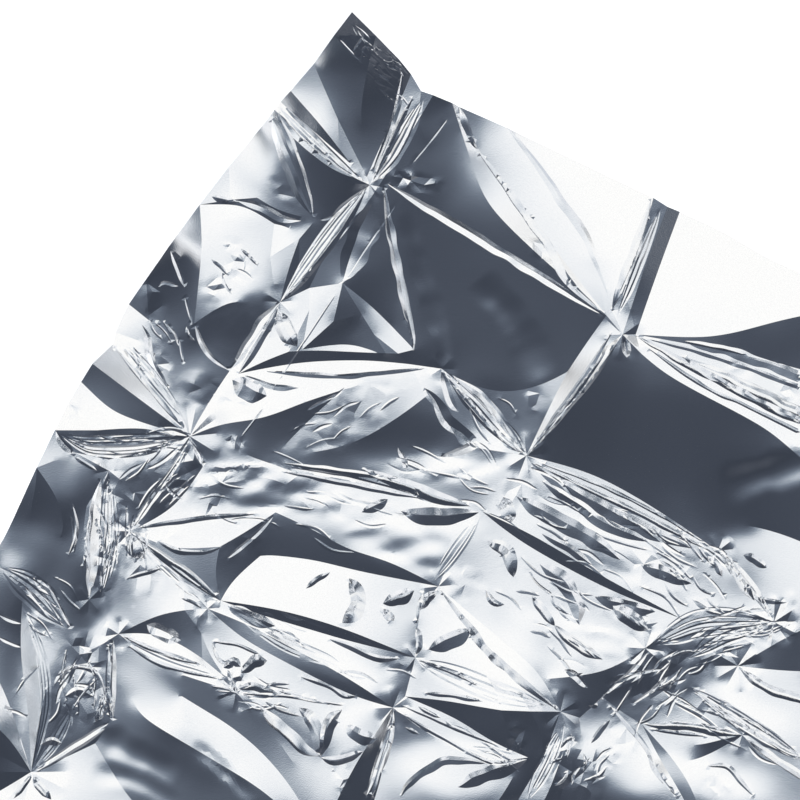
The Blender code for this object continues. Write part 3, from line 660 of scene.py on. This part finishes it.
def picture_place(points, tip):
    """Where points show in the photograph and how high they are, all in its pixels."""
    offset = points - np.array(tip)
    across = offset @ np.array(RIGHT) / PIXEL + TIP_PIXEL[0]
    down = TIP_PIXEL[1] - offset @ np.array(PICTURE_UP) / PIXEL
    return np.column_stack((across, down, points[:, 2] / PIXEL))


def real_place(places, tip):
    """The opposite of picture_place."""
    heights = places[:, 2] * PIXEL
    across = (places[:, 0] - TIP_PIXEL[0]) * PIXEL
    up = (TIP_PIXEL[1] - places[:, 1]) * PIXEL
    away = (up - (heights - tip[2]) * math.cos(LOOK_DOWN)) / math.sin(LOOK_DOWN)
    plan = across[:, None] * np.array(RIGHT) + away[:, None] * np.array(AWAY)
    return np.column_stack((plan[:, 0] + tip[0], plan[:, 1] + tip[1], heights))


def curve_through(stops, step):
    """A curve through a few pixels, sampled at even steps."""
    stops = [np.array(stop, dtype=float) for stop in stops]
    padded = [stops[0] * 2 - stops[1]] + stops + [stops[-1] * 2 - stops[-2]]
    samples = [stops[0]]
    for before, start, end, after in zip(padded, padded[1:], padded[2:], padded[3:]):
        count = max(1, round(float(np.linalg.norm(end - start)) / step))
        for number in range(1, count + 1):
            t = number / count
            bend = (end - before) * 0.5 * (t ** 3 - 2 * t ** 2 + t)
            bend += (after - start) * 0.5 * (t ** 3 - t ** 2)
            blend = 3 * t ** 2 - 2 * t ** 3
            samples.append(start * (1 - blend) + end * blend + bend)
    return np.array(samples)


def swell(share, open_ends):
    """How full a crease is along its run: pinched at its ends, or at the first only."""
    rise = np.minimum(1.0, share / PINCH)
    fall = np.minimum(1.0, (1.0 - share) / PINCH)
    full = rise if open_ends else rise * fall
    return full * (2.0 - full)


def sideways(run):
    """The direction square to a run at each of its samples."""
    along = np.gradient(run, axis=0)
    along /= np.linalg.norm(along, axis=1)[:, None]
    return np.column_stack((-along[:, 1], along[:, 0]))


def turned_axes(turn):
    """The long and the short axis of a patch that is turned by this many degrees."""
    angle = math.radians(turn)
    return np.array(((math.cos(angle), math.sin(angle)), (-math.sin(angle), math.cos(angle))))


def lengths_along(run):
    steps = np.linalg.norm(np.diff(run, axis=0), axis=1)
    lengths = np.concatenate(([0.0], np.cumsum(steps)))
    return lengths / lengths[-1]


def crossing(run):
    """How squarely a run lies to the light, which is how much of its slope shows."""
    chord = run[-1] - run[0]
    floor = RIGHT * float(chord[0]) - AWAY * float(chord[1] / math.sin(LOOK_DOWN))
    return max(LEAST_CROSSING, floor.normalized().cross(LIGHT_DIRECTION).length)


def wavering(chance, count, most):
    """Even random swings along a run of samples, none of them sudden."""
    knots = np.array([chance.uniform(-most, most) for _ in range(2 + count // WAVER_SAMPLES)])
    where = np.linspace(0.0, len(knots) - 1.0, count)
    before = np.minimum(where.astype(int), len(knots) - 2)
    share = 0.5 - 0.5 * np.cos((where - before) * math.pi)
    return knots[before] * (1.0 - share) + knots[before + 1] * share


class Crease:
    """A narrow ridge or furrow along a curve, widest in its middle and wavering a little."""

    def __init__(self, slope, width, stops, seed, open_ends=False, soft=False):
        chance = random.Random(seed)
        run = curve_through(stops, LINE_STEP)
        share = lengths_along(run)
        full = np.maximum(swell(share, open_ends), LEAST_FULL)
        side = sideways(run)
        shift = wavering(chance, len(run), min(WAVER_MOST, width * WAVER_SHIFT)) * full
        self.run = run + side * shift[:, None]
        self.side = side
        self.soft = soft
        self.half = width / 2.0 * (1.0 + wavering(chance, len(run), WAVER_WIDTH))
        self.half *= 1.0 if soft else full
        self.full = full
        self.lopsided = 0.0
        if not soft:
            lit = float(side.mean(axis=0) @ LIGHT_PIXELS) > 0.0
            self.lopsided = chance.uniform(*LOPSIDED_SHARE) * LOPSIDED * (-1.0 if lit else 1.0)
        self.slope = slope / crossing(self.run)
        self.reach = width / 2.0 * (1.0 + WAVER_WIDTH) * (1.0 + LOPSIDED) + WAVER_MOST

    def lines(self):
        """Its crest and its two feet."""
        if self.soft:
            return
        yield self.run
        for turn in (-1.0, 1.0):
            foot = self.half * (turn + self.lopsided)
            yield self.run + self.side * foot[:, None]

    def add_to(self, places, heights):
        low = self.run.min(axis=0) - self.reach
        high = self.run.max(axis=0) + self.reach
        near = np.nonzero(((places[:, :2] > low) & (places[:, :2] < high)).all(axis=1))[0]
        if not len(near):
            return
        spots = places[near, :2]
        best = np.full(len(near), 1.0e9)
        half = np.zeros(len(near))
        full = np.zeros(len(near))
        left = np.zeros(len(near), dtype=bool)
        for number in range(len(self.run) - 1):
            start, reach = self.run[number], self.run[number + 1] - self.run[number]
            share = np.clip((spots - start) @ reach / max(reach @ reach, 1.0e-9), 0.0, 1.0)
            gap = np.linalg.norm(spots - start - share[:, None] * reach, axis=1)
            nearer = gap < best
            best[nearer] = gap[nearer]
            half[nearer] = (self.half[number] * (1 - share) + self.half[number + 1] * share)[nearer]
            full[nearer] = (self.full[number] * (1 - share) + self.full[number + 1] * share)[nearer]
            across = reach[0] * (spots[:, 1] - start[1]) - reach[1] * (spots[:, 0] - start[0])
            left[nearer] = (across > 0.0)[nearer]
        if self.soft:
            inward = np.clip(best / np.maximum(half, 1.0e-6), 0.0, 1.0)
            heights[near] += self.slope * half * full * (0.5 + 0.5 * np.cos(inward * math.pi))
        else:
            foot = half * np.where(left, 1.0 + self.lopsided, 1.0 - self.lopsided)
            heights[near] += self.slope * half * np.maximum(1.0 - best / np.maximum(foot, 1.0e-6), 0.0)


class Star:
    """Small folds that fan out from a spot."""

    def __init__(self, centre, radius, rays, slope, seed):
        chance = random.Random(seed)
        self.centre = np.array(centre, dtype=float)
        self.radius = radius
        turns = [(number + chance.uniform(-RAY_SHIFT, RAY_SHIFT)) / rays for number in range(rays)]
        self.turns = np.array(turns) * 2.0 * math.pi
        signs = [(-1.0) ** number * chance.uniform(0.35, 1.0) for number in range(rays)]
        self.rises = np.array(signs) * slope * math.pi / rays
        self.reaches = [chance.uniform(0.7, 1.0) for _ in range(rays)]

    def lines(self):
        for turn, reach in zip(self.turns, self.reaches):
            end = self.centre + np.array((math.cos(turn), math.sin(turn))) * self.radius * reach
            yield curve_through((self.centre, end), LINE_STEP)

    def add_to(self, places, heights):
        offset = places[:, :2] - self.centre
        gap = np.linalg.norm(offset, axis=1)
        near = gap < self.radius
        turn = np.arctan2(offset[near, 1], offset[near, 0]) % (2.0 * math.pi)
        order = np.argsort(self.turns % (2.0 * math.pi))
        rise = np.interp(turn, (self.turns % (2.0 * math.pi))[order], self.rises[order],
                         period=2.0 * math.pi)
        fade = np.clip((self.radius - gap[near]) / (self.radius * 0.6), 0.0, 1.0)
        heights[near] += rise * gap[near] * fade * (2.0 - fade)


class Patch:
    """An oval patch of the film, with its own axes."""

    def __init__(self, centre, radii, turn):
        self.centre = np.array(centre, dtype=float)
        self.radii = np.array(radii, dtype=float)
        self.axes = turned_axes(turn)

    def local(self, spots):
        return (spots - self.centre) @ self.axes.T

    def inside(self, local):
        """1 in the middle of the patch, 0 at its edge and less outside."""
        return 1.0 - np.linalg.norm(local / self.radii, axis=1)

    def lines(self):
        return ()


class Facets(Patch):
    """A patch of flat little faces at odd tilts, where the film is crumpled."""

    def __init__(self, centre, radii, turn, size, stretch, slope, seed):
        super().__init__(centre, radii, turn)
        chance = random.Random(seed)
        steps = np.array((size * stretch, size))
        counts = np.ceil(self.radii / steps).astype(int) + 1
        spots, tall = [], []
        for row in range(-counts[1], counts[1] + 1):
            for column in range(-counts[0], counts[0] + 1):
                shift = 0.5 if row % 2 else 0.0
                spot = np.array((column + shift + chance.uniform(-FACET_SHIFT, FACET_SHIFT),
                                 row + chance.uniform(-FACET_SHIFT, FACET_SHIFT))) * steps
                spots.append(spot)
                tall.append(chance.uniform(-1.0, 1.0) * slope * size * 0.5)
        faces = delaunay_2d_cdt([Vector(spot) for spot in spots], [], [], 0, TINY)[2]
        self.spots = np.array(spots)
        self.faces = faces
        self.tree = BVHTree.FromPolygons(
            [Vector((*spot, high)) for spot, high in zip(self.spots, tall)], faces)

    def lines(self):
        pairs = {tuple(sorted(pair)) for face in self.faces
                 for pair in zip(face, face[1:] + face[:1])}
        for first, last in sorted(pairs):
            ends = self.spots[[first, last]]
            if (self.inside(ends) > -0.05).all():
                yield curve_through(ends @ self.axes + self.centre, LINE_STEP)

    def add_to(self, places, heights):
        local = self.local(places[:, :2])
        depth = self.inside(local)
        for index in np.nonzero(depth > 0.0)[0]:
            hit = self.tree.ray_cast(Vector((*local[index], 99.0)), Vector((0.0, 0.0, -1.0)))[0]
            if hit:
                heights[index] += hit.z * min(1.0, depth[index] / FADE)


class Ripples(Patch):
    """A patch of low soft waves, longer one way than the other."""

    def __init__(self, centre, radii, turn, size, stretch, slope, seed):
        super().__init__(centre, radii, turn)
        chance = random.Random(seed)
        self.waves = []
        for _ in range(RIPPLE_WAVES):
            length = size * chance.uniform(0.6, 1.7)
            bearing = chance.uniform(-1.3, 1.3)
            wave = np.array((math.sin(bearing) / stretch, math.cos(bearing))) * 2.0 * math.pi / length
            tall = slope / np.linalg.norm(wave) / math.sqrt(RIPPLE_WAVES)
            self.waves.append((wave, chance.uniform(0.0, 2.0 * math.pi), tall))

    def add_to(self, places, heights):
        local = self.local(places[:, :2])
        depth = self.inside(local)
        near = depth > 0.0
        total = np.zeros(int(near.sum()))
        bend = np.zeros(int(near.sum()))
        for wave, shift, tall in self.waves:
            level = local[near] @ wave + shift + bend
            total += np.sin(level) * tall * math.sqrt(2.0)
            bend += np.cos(level * 0.5) * RIPPLE_BEND
        fade = np.clip(depth[near] / FADE, 0.0, 1.0)
        heights[near] += total * fade * fade * (3.0 - 2.0 * fade)


def slope_shares(points, faces):
    """For each triangle, what a unit of height at each corner adds to its slope to and across the light."""
    to_light = points @ np.array(LIGHT_DIRECTION) / PIXEL
    sideways = points @ np.array(UP.cross(LIGHT_DIRECTION)) / PIXEL
    first, last = to_light[faces], sideways[faces]
    doubled = ((first[:, 1] - first[:, 0]) * (last[:, 2] - last[:, 0])
               - (first[:, 2] - first[:, 0]) * (last[:, 1] - last[:, 0]))
    doubled = np.where(np.abs(doubled) < 1.0e-6, 1.0e-6, doubled)
    ahead, behind = [1, 2, 0], [2, 0, 1]
    along = (last[:, ahead] - last[:, behind]) / doubled[:, None]
    across = (first[:, behind] - first[:, ahead]) / doubled[:, None]
    return along, across, np.abs(doubled) / 2.0


def lean_panels(points, faces, creased, tip):
    """Lean the panels as TILTS asks: each stays smooth, and the sheet bends only at its folds."""
    places = picture_place(points, tip)
    along, across, areas = slope_shares(points, faces)
    middles = places[faces, :2].mean(axis=1)
    wish = np.zeros(len(faces))
    for slope, centre, radii, turn in TILTS:
        patch = Patch(centre, radii, turn)
        depth = patch.inside(patch.local(middles))
        wish += slope * np.clip(depth / TILT_FADE, 0.0, 1.0)
    edges, _, sides, _ = edge_table(faces)
    smooth = np.array([tuple(edge) not in creased for edge in edges.tolist()]) & (sides[:, 1] >= 0)
    near, far = sides[smooth, 0], sides[smooth, 1]
    stiff = np.linalg.norm(np.diff(places[edges[smooth], :2], axis=1)[:, 0], axis=1) * TILT_STIFFNESS
    count = len(points)
    ground = np.bincount(faces.ravel(), np.repeat(areas, 3) / 3.0, count) * TILT_REST

    def spread(to_light, sideways):
        shares = along * to_light[:, None] + across * sideways[:, None]
        return np.bincount(faces.ravel(), shares.ravel(), count)

    def pull(lift):
        to_light = (along * lift[faces]).sum(axis=1)
        sideways = (across * lift[faces]).sum(axis=1)
        forces = []
        for slope, keep in ((to_light, 1.0), (sideways, TILT_CROSS)):
            jump = (slope[near] - slope[far]) * stiff
            force = areas * keep * slope
            force += np.bincount(near, jump, len(faces)) - np.bincount(far, jump, len(faces))
            forces.append(force)
        return spread(*forces) + ground * lift

    target = spread(areas * wish, np.zeros(len(faces)))
    diagonal = np.bincount(faces.ravel(), (areas[:, None] * (along ** 2 + across ** 2)).ravel(), count)
    lift = np.zeros(count)
    rest = target.copy()
    step = rest / diagonal
    worth = rest @ step
    for _ in range(TILT_ROUNDS):
        answer = pull(step)
        size = worth / (step @ answer)
        lift += size * step
        rest -= size * answer
        ready = rest / diagonal
        fresh = rest @ ready
        step = ready + step * (fresh / worth)
        worth = fresh
    places[:, 2] = np.maximum(places[:, 2] + lift, FLOOR_GAP / PIXEL)
    return real_place(places, tip)


def strewn_hairs(count, centre, radii, turn, spread, length, width, slope, seed):
    """Hairline folds at odd places in a patch, all lying much the same way."""
    chance = random.Random(seed)
    axes = turned_axes(turn)
    for number in range(count):
        bearing = chance.uniform(0.0, 2.0 * math.pi)
        out = math.sqrt(chance.random())
        spot = np.array(centre) + np.array((math.cos(bearing), math.sin(bearing))) * out * radii @ axes
        way = math.radians(turn) + math.radians(chance.uniform(-spread, spread))
        reach = np.array((math.cos(way), math.sin(way))) * length * chance.uniform(0.3, 0.6)
        bow = np.array((-reach[1], reach[0])) * chance.uniform(-HAIR_BOW, HAIR_BOW)
        rise = slope * chance.uniform(0.4, 1.2) * (-1.0 if number % 3 else 1.0)
        yield Crease(rise, width * chance.uniform(0.7, 1.2),
                     [tuple(spot - reach), tuple(spot + bow), tuple(spot + reach)], seed * 100 + number)


def all_details():
    """Every small fold of the film, from the tables."""
    details = [Crease(slope, width, stops, seed)
               for seed, (slope, width, *stops) in enumerate(CREASES)]
    details += [Crease(slope, width, stops, seed, open_ends=True)
                for seed, (slope, width, *stops) in enumerate(OPEN_CREASES)]
    details += [Crease(slope, width, stops, seed, soft=True)
                for seed, (slope, width, *stops) in enumerate(SWELLS)]
    for seed, (slope, stripes, bulge, *stops) in enumerate(BANDS):
        chance = random.Random(seed)
        run = curve_through(stops, BAND_STEP)
        share = lengths_along(run)
        side = sideways(run)
        widths = np.array([chance.uniform(0.5, 1.5) for _ in range(stripes)])
        middles = (np.cumsum(widths) - widths / 2.0) / widths.sum() * 2.0 - 1.0
        for number, (place, width) in enumerate(zip(middles, widths / widths.sum() * bulge)):
            shift = side * (np.sin(share * math.pi) ** 0.7 * bulge / 2.0 * place)[:, None]
            details.append(Crease(slope * chance.uniform(0.3, 1.2), width,
                                  [tuple(spot) for spot in run + shift], seed * 100 + number))
    details += [hair for seed, row in enumerate(HAIRS) for hair in strewn_hairs(*row, seed)]
    details += [Star(*row, seed) for seed, row in enumerate(STARS)]
    details += [Facets(*row, seed) for seed, row in enumerate(FACETS)]
    details += [Ripples(*row, seed) for seed, row in enumerate(RIPPLES)]
    return details


class Plan:
    """Points and lines of the film's mesh, in pixels, with near points merged."""

    def __init__(self):
        self.points = []
        self.cells = {}
        self.lines = []

    def add_point(self, spot):
        cell = (math.floor(spot[0] / MERGE), math.floor(spot[1] / MERGE))
        for column in (-1, 0, 1):
            for row in (-1, 0, 1):
                for index in self.cells.get((cell[0] + column, cell[1] + row), ()):
                    known = self.points[index]
                    if math.hypot(known[0] - spot[0], known[1] - spot[1]) < MERGE:
                        return index
        self.points.append((float(spot[0]), float(spot[1])))
        self.cells.setdefault(cell, []).append(len(self.points) - 1)
        return len(self.points) - 1

    def add_run(self, run):
        indices = [self.add_point(spot) for spot in run]
        self.lines += [pair for pair in zip(indices, indices[1:]) if pair[0] != pair[1]]


def shown(spots, margin):
    """Whether pixels fall inside the photograph, or within a margin of it."""
    return ((spots > -margin) & (spots < PICTURE_SIZE + margin)).all(axis=1)


def field_spots(low, high):
    """Points between the folds: close where the film is crumpled, wide where the photograph ends."""
    chance = random.Random(11)
    crumpled = [(np.array(row[0]), row[1] + FINE_STEP) for row in STARS]
    crumpled += [(np.array(row[0]), max(row[1]) * 0.9) for row in FACETS]
    for step, wanted in ((FINE_STEP, 2), (FIELD_STEP, 1), (PLAIN_STEP, 0)):
        rows = np.arange(low[1], high[1], step * math.sqrt(0.75))
        columns = np.arange(low[0], high[0], step)
        across, down = np.meshgrid(columns, rows)
        across = across + (np.arange(len(rows)) % 2)[:, None] * step / 2.0
        spots = np.column_stack((across.ravel(), down.ravel()))
        level = shown(spots, PICTURE_MARGIN).astype(int)
        for centre, reach in crumpled:
            level[(np.linalg.norm(spots - centre, axis=1) < reach) & (level > 0)] = 2
        for spot in spots[level == wanted]:
            shift = step * STEP_JITTER
            yield spot + (chance.uniform(-shift, shift), chance.uniform(-shift, shift)), step


def plan_film(places, edges, sides, creased, details, tree):
    """A finer triangulation of the sheet, with an edge along every fold."""
    plan = Plan()
    numbers = {}
    for index in np.unique(edges[creased]).tolist():
        numbers[index] = plan.add_point(places[index, :2])
    for first, last in edges[creased].tolist():
        if numbers[first] != numbers[last]:
            plan.lines.append((numbers[first], numbers[last]))
    rim = {numbers[index] for index in np.unique(edges[sides[:, 1] < 0]).tolist()}
    for detail in details:
        for run in detail.lines():
            kept = []
            for spot in run:
                if height_under(tree, spot) is not None:
                    kept.append(spot)
                else:
                    plan.add_run(kept)
                    kept = []
            plan.add_run(kept)
    known = KDTree(len(plan.points))
    for index, spot in enumerate(plan.points):
        known.insert((*spot, 0.0), index)
    known.balance()
    for spot, step in field_spots(places.min(axis=0), places.max(axis=0)):
        if known.find((*spot, 0.0))[2] > step * CLEARANCE and height_under(tree, spot) is not None:
            plan.points.append((float(spot[0]), float(spot[1])))
    corners, _, triangles, _, _, _ = delaunay_2d_cdt(
        [Vector(spot) for spot in plan.points], plan.lines, [], 0, MERGE * 0.02)
    rim_spots = KDTree(len(rim))
    for index in rim:
        rim_spots.insert((*plan.points[index], 0.0), index)
    rim_spots.balance()
    at_rim = [rim_spots.find((*spot, 0.0))[2] < MERGE * 0.1 for spot in corners]
    kept = []
    for triangle in triangles:
        if all(at_rim[index] for index in triangle):
            middle = sum((corners[index] for index in triangle), Vector((0.0, 0.0))) / 3.0
            if height_under(tree, middle) is None:
                continue
        kept.append(triangle)
    return np.array([tuple(spot) for spot in corners]), np.array(kept)


def height_under(tree, spot):
    """The folded sheet's height at a pixel, or nothing off the sheet."""
    hit = tree.ray_cast(Vector((spot[0], spot[1], HIGH_ABOVE)), Vector((0.0, 0.0, -1.0)))[0]
    return hit.z if hit else None


def nearest_height(tree, spot):
    found = height_under(tree, spot)
    if found is None:
        found = tree.find_nearest(Vector((spot[0], spot[1], 0.0)))[0].z
    return found


def smooth_heights(spots, heights, triangles, edges, face_edges, held):
    """Even out the steps of the coarser mesh, away from the folds, without moving a flat slope."""
    weights = np.zeros(len(edges))
    for column, (near, far, apex) in enumerate(((0, 1, 2), (1, 2, 0), (2, 0, 1))):
        first = spots[triangles[:, near]] - spots[triangles[:, apex]]
        last = spots[triangles[:, far]] - spots[triangles[:, apex]]
        spread = np.abs(first[:, 0] * last[:, 1] - first[:, 1] * last[:, 0])
        np.add.at(weights, face_edges[:, column], (first * last).sum(axis=1) / np.maximum(spread, 1.0e-6))
    weights = np.clip(weights, 0.0, MOST_WEIGHT)
    for _ in range(SMOOTHING_ROUNDS):
        total = np.zeros(len(heights))
        count = np.full(len(heights), 1.0e-9)
        for here, there in ((0, 1), (1, 0)):
            np.add.at(total, edges[:, here], heights[edges[:, there]] * weights)
            np.add.at(count, edges[:, here], weights)
        heights = np.where(held, heights, heights * (1.0 - EVENING) + total / count * EVENING)
    return heights


def film_material():
    material = bpy.data.materials.new("metallised_film_creased")
    material.use_nodes = True
    nodes = material.node_tree.nodes
    links = material.node_tree.links
    shader = nodes["Principled BSDF"]
    shader.inputs["Metallic"].default_value = 1.0
    shader.inputs["Roughness"].default_value = FILM_ROUGHNESS
    where = nodes.new("ShaderNodeTexCoord")
    grain = nodes.new("ShaderNodeTexNoise")
    grain.inputs["Scale"].default_value = GRAIN_SCALE
    grain.inputs["Detail"].default_value = 2.0
    links.new(where.outputs["Object"], grain.inputs["Vector"])
    tint = nodes.new("ShaderNodeValToRGB")
    tint.color_ramp.elements[0].position = 0.30
    tint.color_ramp.elements[0].color = (0.91, 0.92, 0.935, 1.0)
    tint.color_ramp.elements[1].position = 0.70
    tint.color_ramp.elements[1].color = (0.98, 0.985, 0.99, 1.0)
    links.new(grain.outputs["Fac"], tint.inputs["Fac"])
    links.new(tint.outputs["Color"], shader.inputs["Base Color"])
    bump = nodes.new("ShaderNodeBump")
    bump.inputs["Strength"].default_value = GRAIN_STRENGTH
    bump.inputs["Distance"].default_value = GRAIN_HEIGHT
    links.new(grain.outputs["Fac"], bump.inputs["Height"])
    links.new(bump.outputs["Normal"], shader.inputs["Normal"])
    return material


def make_film():
    points, faces = top_surface(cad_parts["foil_sheet"])
    creased = find_creases(points, faces)
    points[:, 2] -= FILM_DROP
    for number in range(REFINEMENTS):
        points, faces, creased = refine(points, faces, creased)
        if number == 0:
            points = lean_panels(points, faces, creased, find_tip(points))
    tip = find_tip(points)
    places = picture_place(points, tip)
    edges, _, sides, _ = edge_table(faces)
    on_crease = np.array([tuple(edge) in creased for edge in edges.tolist()]) | (sides[:, 1] < 0)
    tree = BVHTree.FromPolygons([Vector(place) for place in places.tolist()], faces.tolist())
    details = all_details()
    spots, triangles = plan_film(places, edges, sides, on_crease, details, tree)
    heights = np.array([nearest_height(tree, spot) for spot in spots])
    fine_edges, _, sides, face_edges = edge_table(triangles)
    folds = KDTree(int(on_crease.sum()) * 2)
    for index in edges[on_crease].ravel().tolist():
        folds.insert((places[index, 0], places[index, 1], 0.0), index)
    folds.balance()
    held = np.array([folds.find((*spot, 0.0))[2] < MERGE for spot in spots])
    heights = smooth_heights(spots, heights, triangles, fine_edges, face_edges, held)
    places = np.column_stack((spots, heights))
    for detail in details:
        detail.add_to(places, heights)
    places[:, 2] = np.maximum(heights, FLOOR_GAP / PIXEL)
    points = real_place(places, tip)
    mesh = bpy.data.meshes.new("foil_film")
    mesh.from_pydata(points.tolist(), [], triangles.tolist())
    mesh.update()
    if mesh.polygons[0].normal.z < 0.0:
        mesh.flip_normals()
    mesh.polygons.foreach_set("use_smooth", [True] * len(mesh.polygons))
    bent = bent_edges(points, triangles, sides, SHARP_ANGLE)
    bent_pairs = {tuple(edge) for edge in fine_edges[bent].tolist()}
    mesh.edges.foreach_set("use_edge_sharp", [tuple(sorted(edge.vertices)) in bent_pairs
                                              for edge in mesh.edges])
    mesh.materials.append(film_material())
    film = bpy.data.objects.new("foil_film", mesh)
    bpy.context.scene.collection.objects.link(film)
    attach(film, "root")
    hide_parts("foil_sheet")
    return Vector(tip)


def find_tip(points):
    """The sheet's free corner, at the far left of its own square."""
    return points[np.argmax(points[:, 1] - points[:, 0])]


def make_camera(tip):
    camera = bpy.data.cameras.new("camera")
    camera.sensor_width = SENSOR
    camera.lens = SENSOR * CAMERA_DISTANCE / (PICTURE_SIZE * PIXEL)
    camera.clip_end = CAMERA_REACH
    placed = bpy.data.objects.new("camera", camera)
    centre = tip + RIGHT * (PICTURE_SIZE / 2 - TIP_PIXEL[0]) * PIXEL
    centre -= PICTURE_UP * (PICTURE_SIZE / 2 - TIP_PIXEL[1]) * PIXEL
    placed.location = centre + TO_CAMERA * CAMERA_DISTANCE
    placed.rotation_euler = Matrix((RIGHT, PICTURE_UP, TO_CAMERA)).transposed().to_euler()
    bpy.context.scene.collection.objects.link(placed)
    bpy.context.scene.camera = placed


# The room's brightness by side: how far a direction points to the dark side, and the tone there
ROOM_TONES = [
    (-1.00, (0.30, 0.31, 0.34)),
    (-0.66, (0.14, 0.15, 0.18)),
    (-0.48, (0.60, 0.63, 0.67)),
    (-0.34, (0.93, 0.94, 0.95)),
    (-0.18, (1.04, 1.03, 1.01)),
    (0.00, (1.03, 1.025, 1.01)),
    (0.10, (0.99, 0.99, 0.99)),
    (0.18, (0.90, 0.92, 0.94)),
    (0.26, (0.80, 0.83, 0.865)),
    (0.33, (0.50, 0.55, 0.61)),
    (0.39, (0.22, 0.26, 0.32)),
    (0.47, (0.125, 0.148, 0.19)),
    (0.62, (0.062, 0.073, 0.098)),
    (0.80, (0.042, 0.050, 0.068)),
    (0.90, (0.09, 0.10, 0.125)),
    (1.00, (0.42, 0.44, 0.47)),
]

# Away from the overhead light the room is a mix of unlit walls and white screens: noise level and tone
WALL_TONES = [
    (0.34, (0.045, 0.052, 0.070)),
    (0.43, (0.12, 0.15, 0.19)),
    (0.48, (0.38, 0.42, 0.48)),
    (0.52, (0.78, 0.81, 0.85)),
    (0.60, (1.00, 1.00, 1.01)),
    (0.72, (0.62, 0.66, 0.72)),
]
WALL_GRAIN = 2.6
WALLS_FROM, WALLS_TO = 0.66, 0.42


def tone_ramp(nodes, tones):
    """A colour ramp with these places and tones."""
    ramp = nodes.new("ShaderNodeValToRGB")
    stops = ramp.color_ramp.elements
    stops[0].position = tones[0][0]
    stops[0].color = (*tones[0][1], 1.0)
    stops[1].position = tones[-1][0]
    stops[1].color = (*tones[-1][1], 1.0)
    for place, tone in tones[1:-1]:
        stops.new(place).color = (*tone, 1.0)
    return ramp


def facing(nodes, links, where, direction):
    """How far each direction of the room points along this one."""
    dot = nodes.new("ShaderNodeVectorMath")
    dot.operation = "DOT_PRODUCT"
    dot.inputs[1].default_value = direction
    links.new(where.outputs["Generated"], dot.inputs[0])
    return dot.outputs["Value"]


def make_room():
    """A white overhead band of light, with the dark of the room on both sides of it."""
    world = bpy.data.worlds.new("room")
    bpy.context.scene.world = world
    world.use_nodes = True
    nodes = world.node_tree.nodes
    links = world.node_tree.links
    where = nodes.new("ShaderNodeTexCoord")
    place = nodes.new("ShaderNodeMapRange")
    place.inputs["From Min"].default_value = -1.0
    place.inputs["From Max"].default_value = 1.0
    links.new(facing(nodes, links, where, LIGHT_DIRECTION), place.inputs["Value"])
    ramp = tone_ramp(nodes, [((turn + 1.0) / 2.0, tone) for turn, tone in ROOM_TONES])
    links.new(place.outputs["Result"], ramp.inputs["Fac"])
    share = nodes.new("ShaderNodeMapRange")
    share.interpolation_type = "SMOOTHSTEP"
    share.inputs["From Min"].default_value = WALLS_TO
    share.inputs["From Max"].default_value = WALLS_FROM
    overhead = Vector((-TO_CAMERA.x, -TO_CAMERA.y, TO_CAMERA.z))
    links.new(facing(nodes, links, where, overhead), share.inputs["Value"])
    clouds = nodes.new("ShaderNodeTexNoise")
    clouds.inputs["Scale"].default_value = WALL_GRAIN
    clouds.inputs["Detail"].default_value = 1.0
    links.new(where.outputs["Generated"], clouds.inputs["Vector"])
    walls = tone_ramp(nodes, WALL_TONES)
    links.new(clouds.outputs["Fac"], walls.inputs["Fac"])
    mixed = nodes.new("ShaderNodeMixRGB")
    links.new(share.outputs["Result"], mixed.inputs["Fac"])
    links.new(walls.outputs["Color"], mixed.inputs["Color1"])
    links.new(ramp.outputs["Color"], mixed.inputs["Color2"])
    links.new(mixed.outputs["Color"], nodes["Background"].inputs["Color"])
    nodes["Background"].inputs["Strength"].default_value = 1.0


def make_floor():
    bpy.ops.mesh.primitive_plane_add(size=FLOOR_SIZE, location=(0.0, 0.0, -FLOOR_DROP))
    floor = bpy.context.object
    floor.name = "floor"
    material = bpy.data.materials.new("pale_floor")
    material.use_nodes = True
    shader = material.node_tree.nodes["Principled BSDF"]
    shader.inputs["Base Color"].default_value = (0.95, 0.95, 0.95, 1.0)
    shader.inputs["Roughness"].default_value = 0.9
    shader.inputs["Emission Color"].default_value = (1.0, 1.0, 1.0, 1.0)
    shader.inputs["Emission Strength"].default_value = FLOOR_GLOW
    floor.data.materials.append(material)


bpy.context.scene.view_settings.view_transform = "Standard"
make_camera(make_film())
make_room()
make_floor()
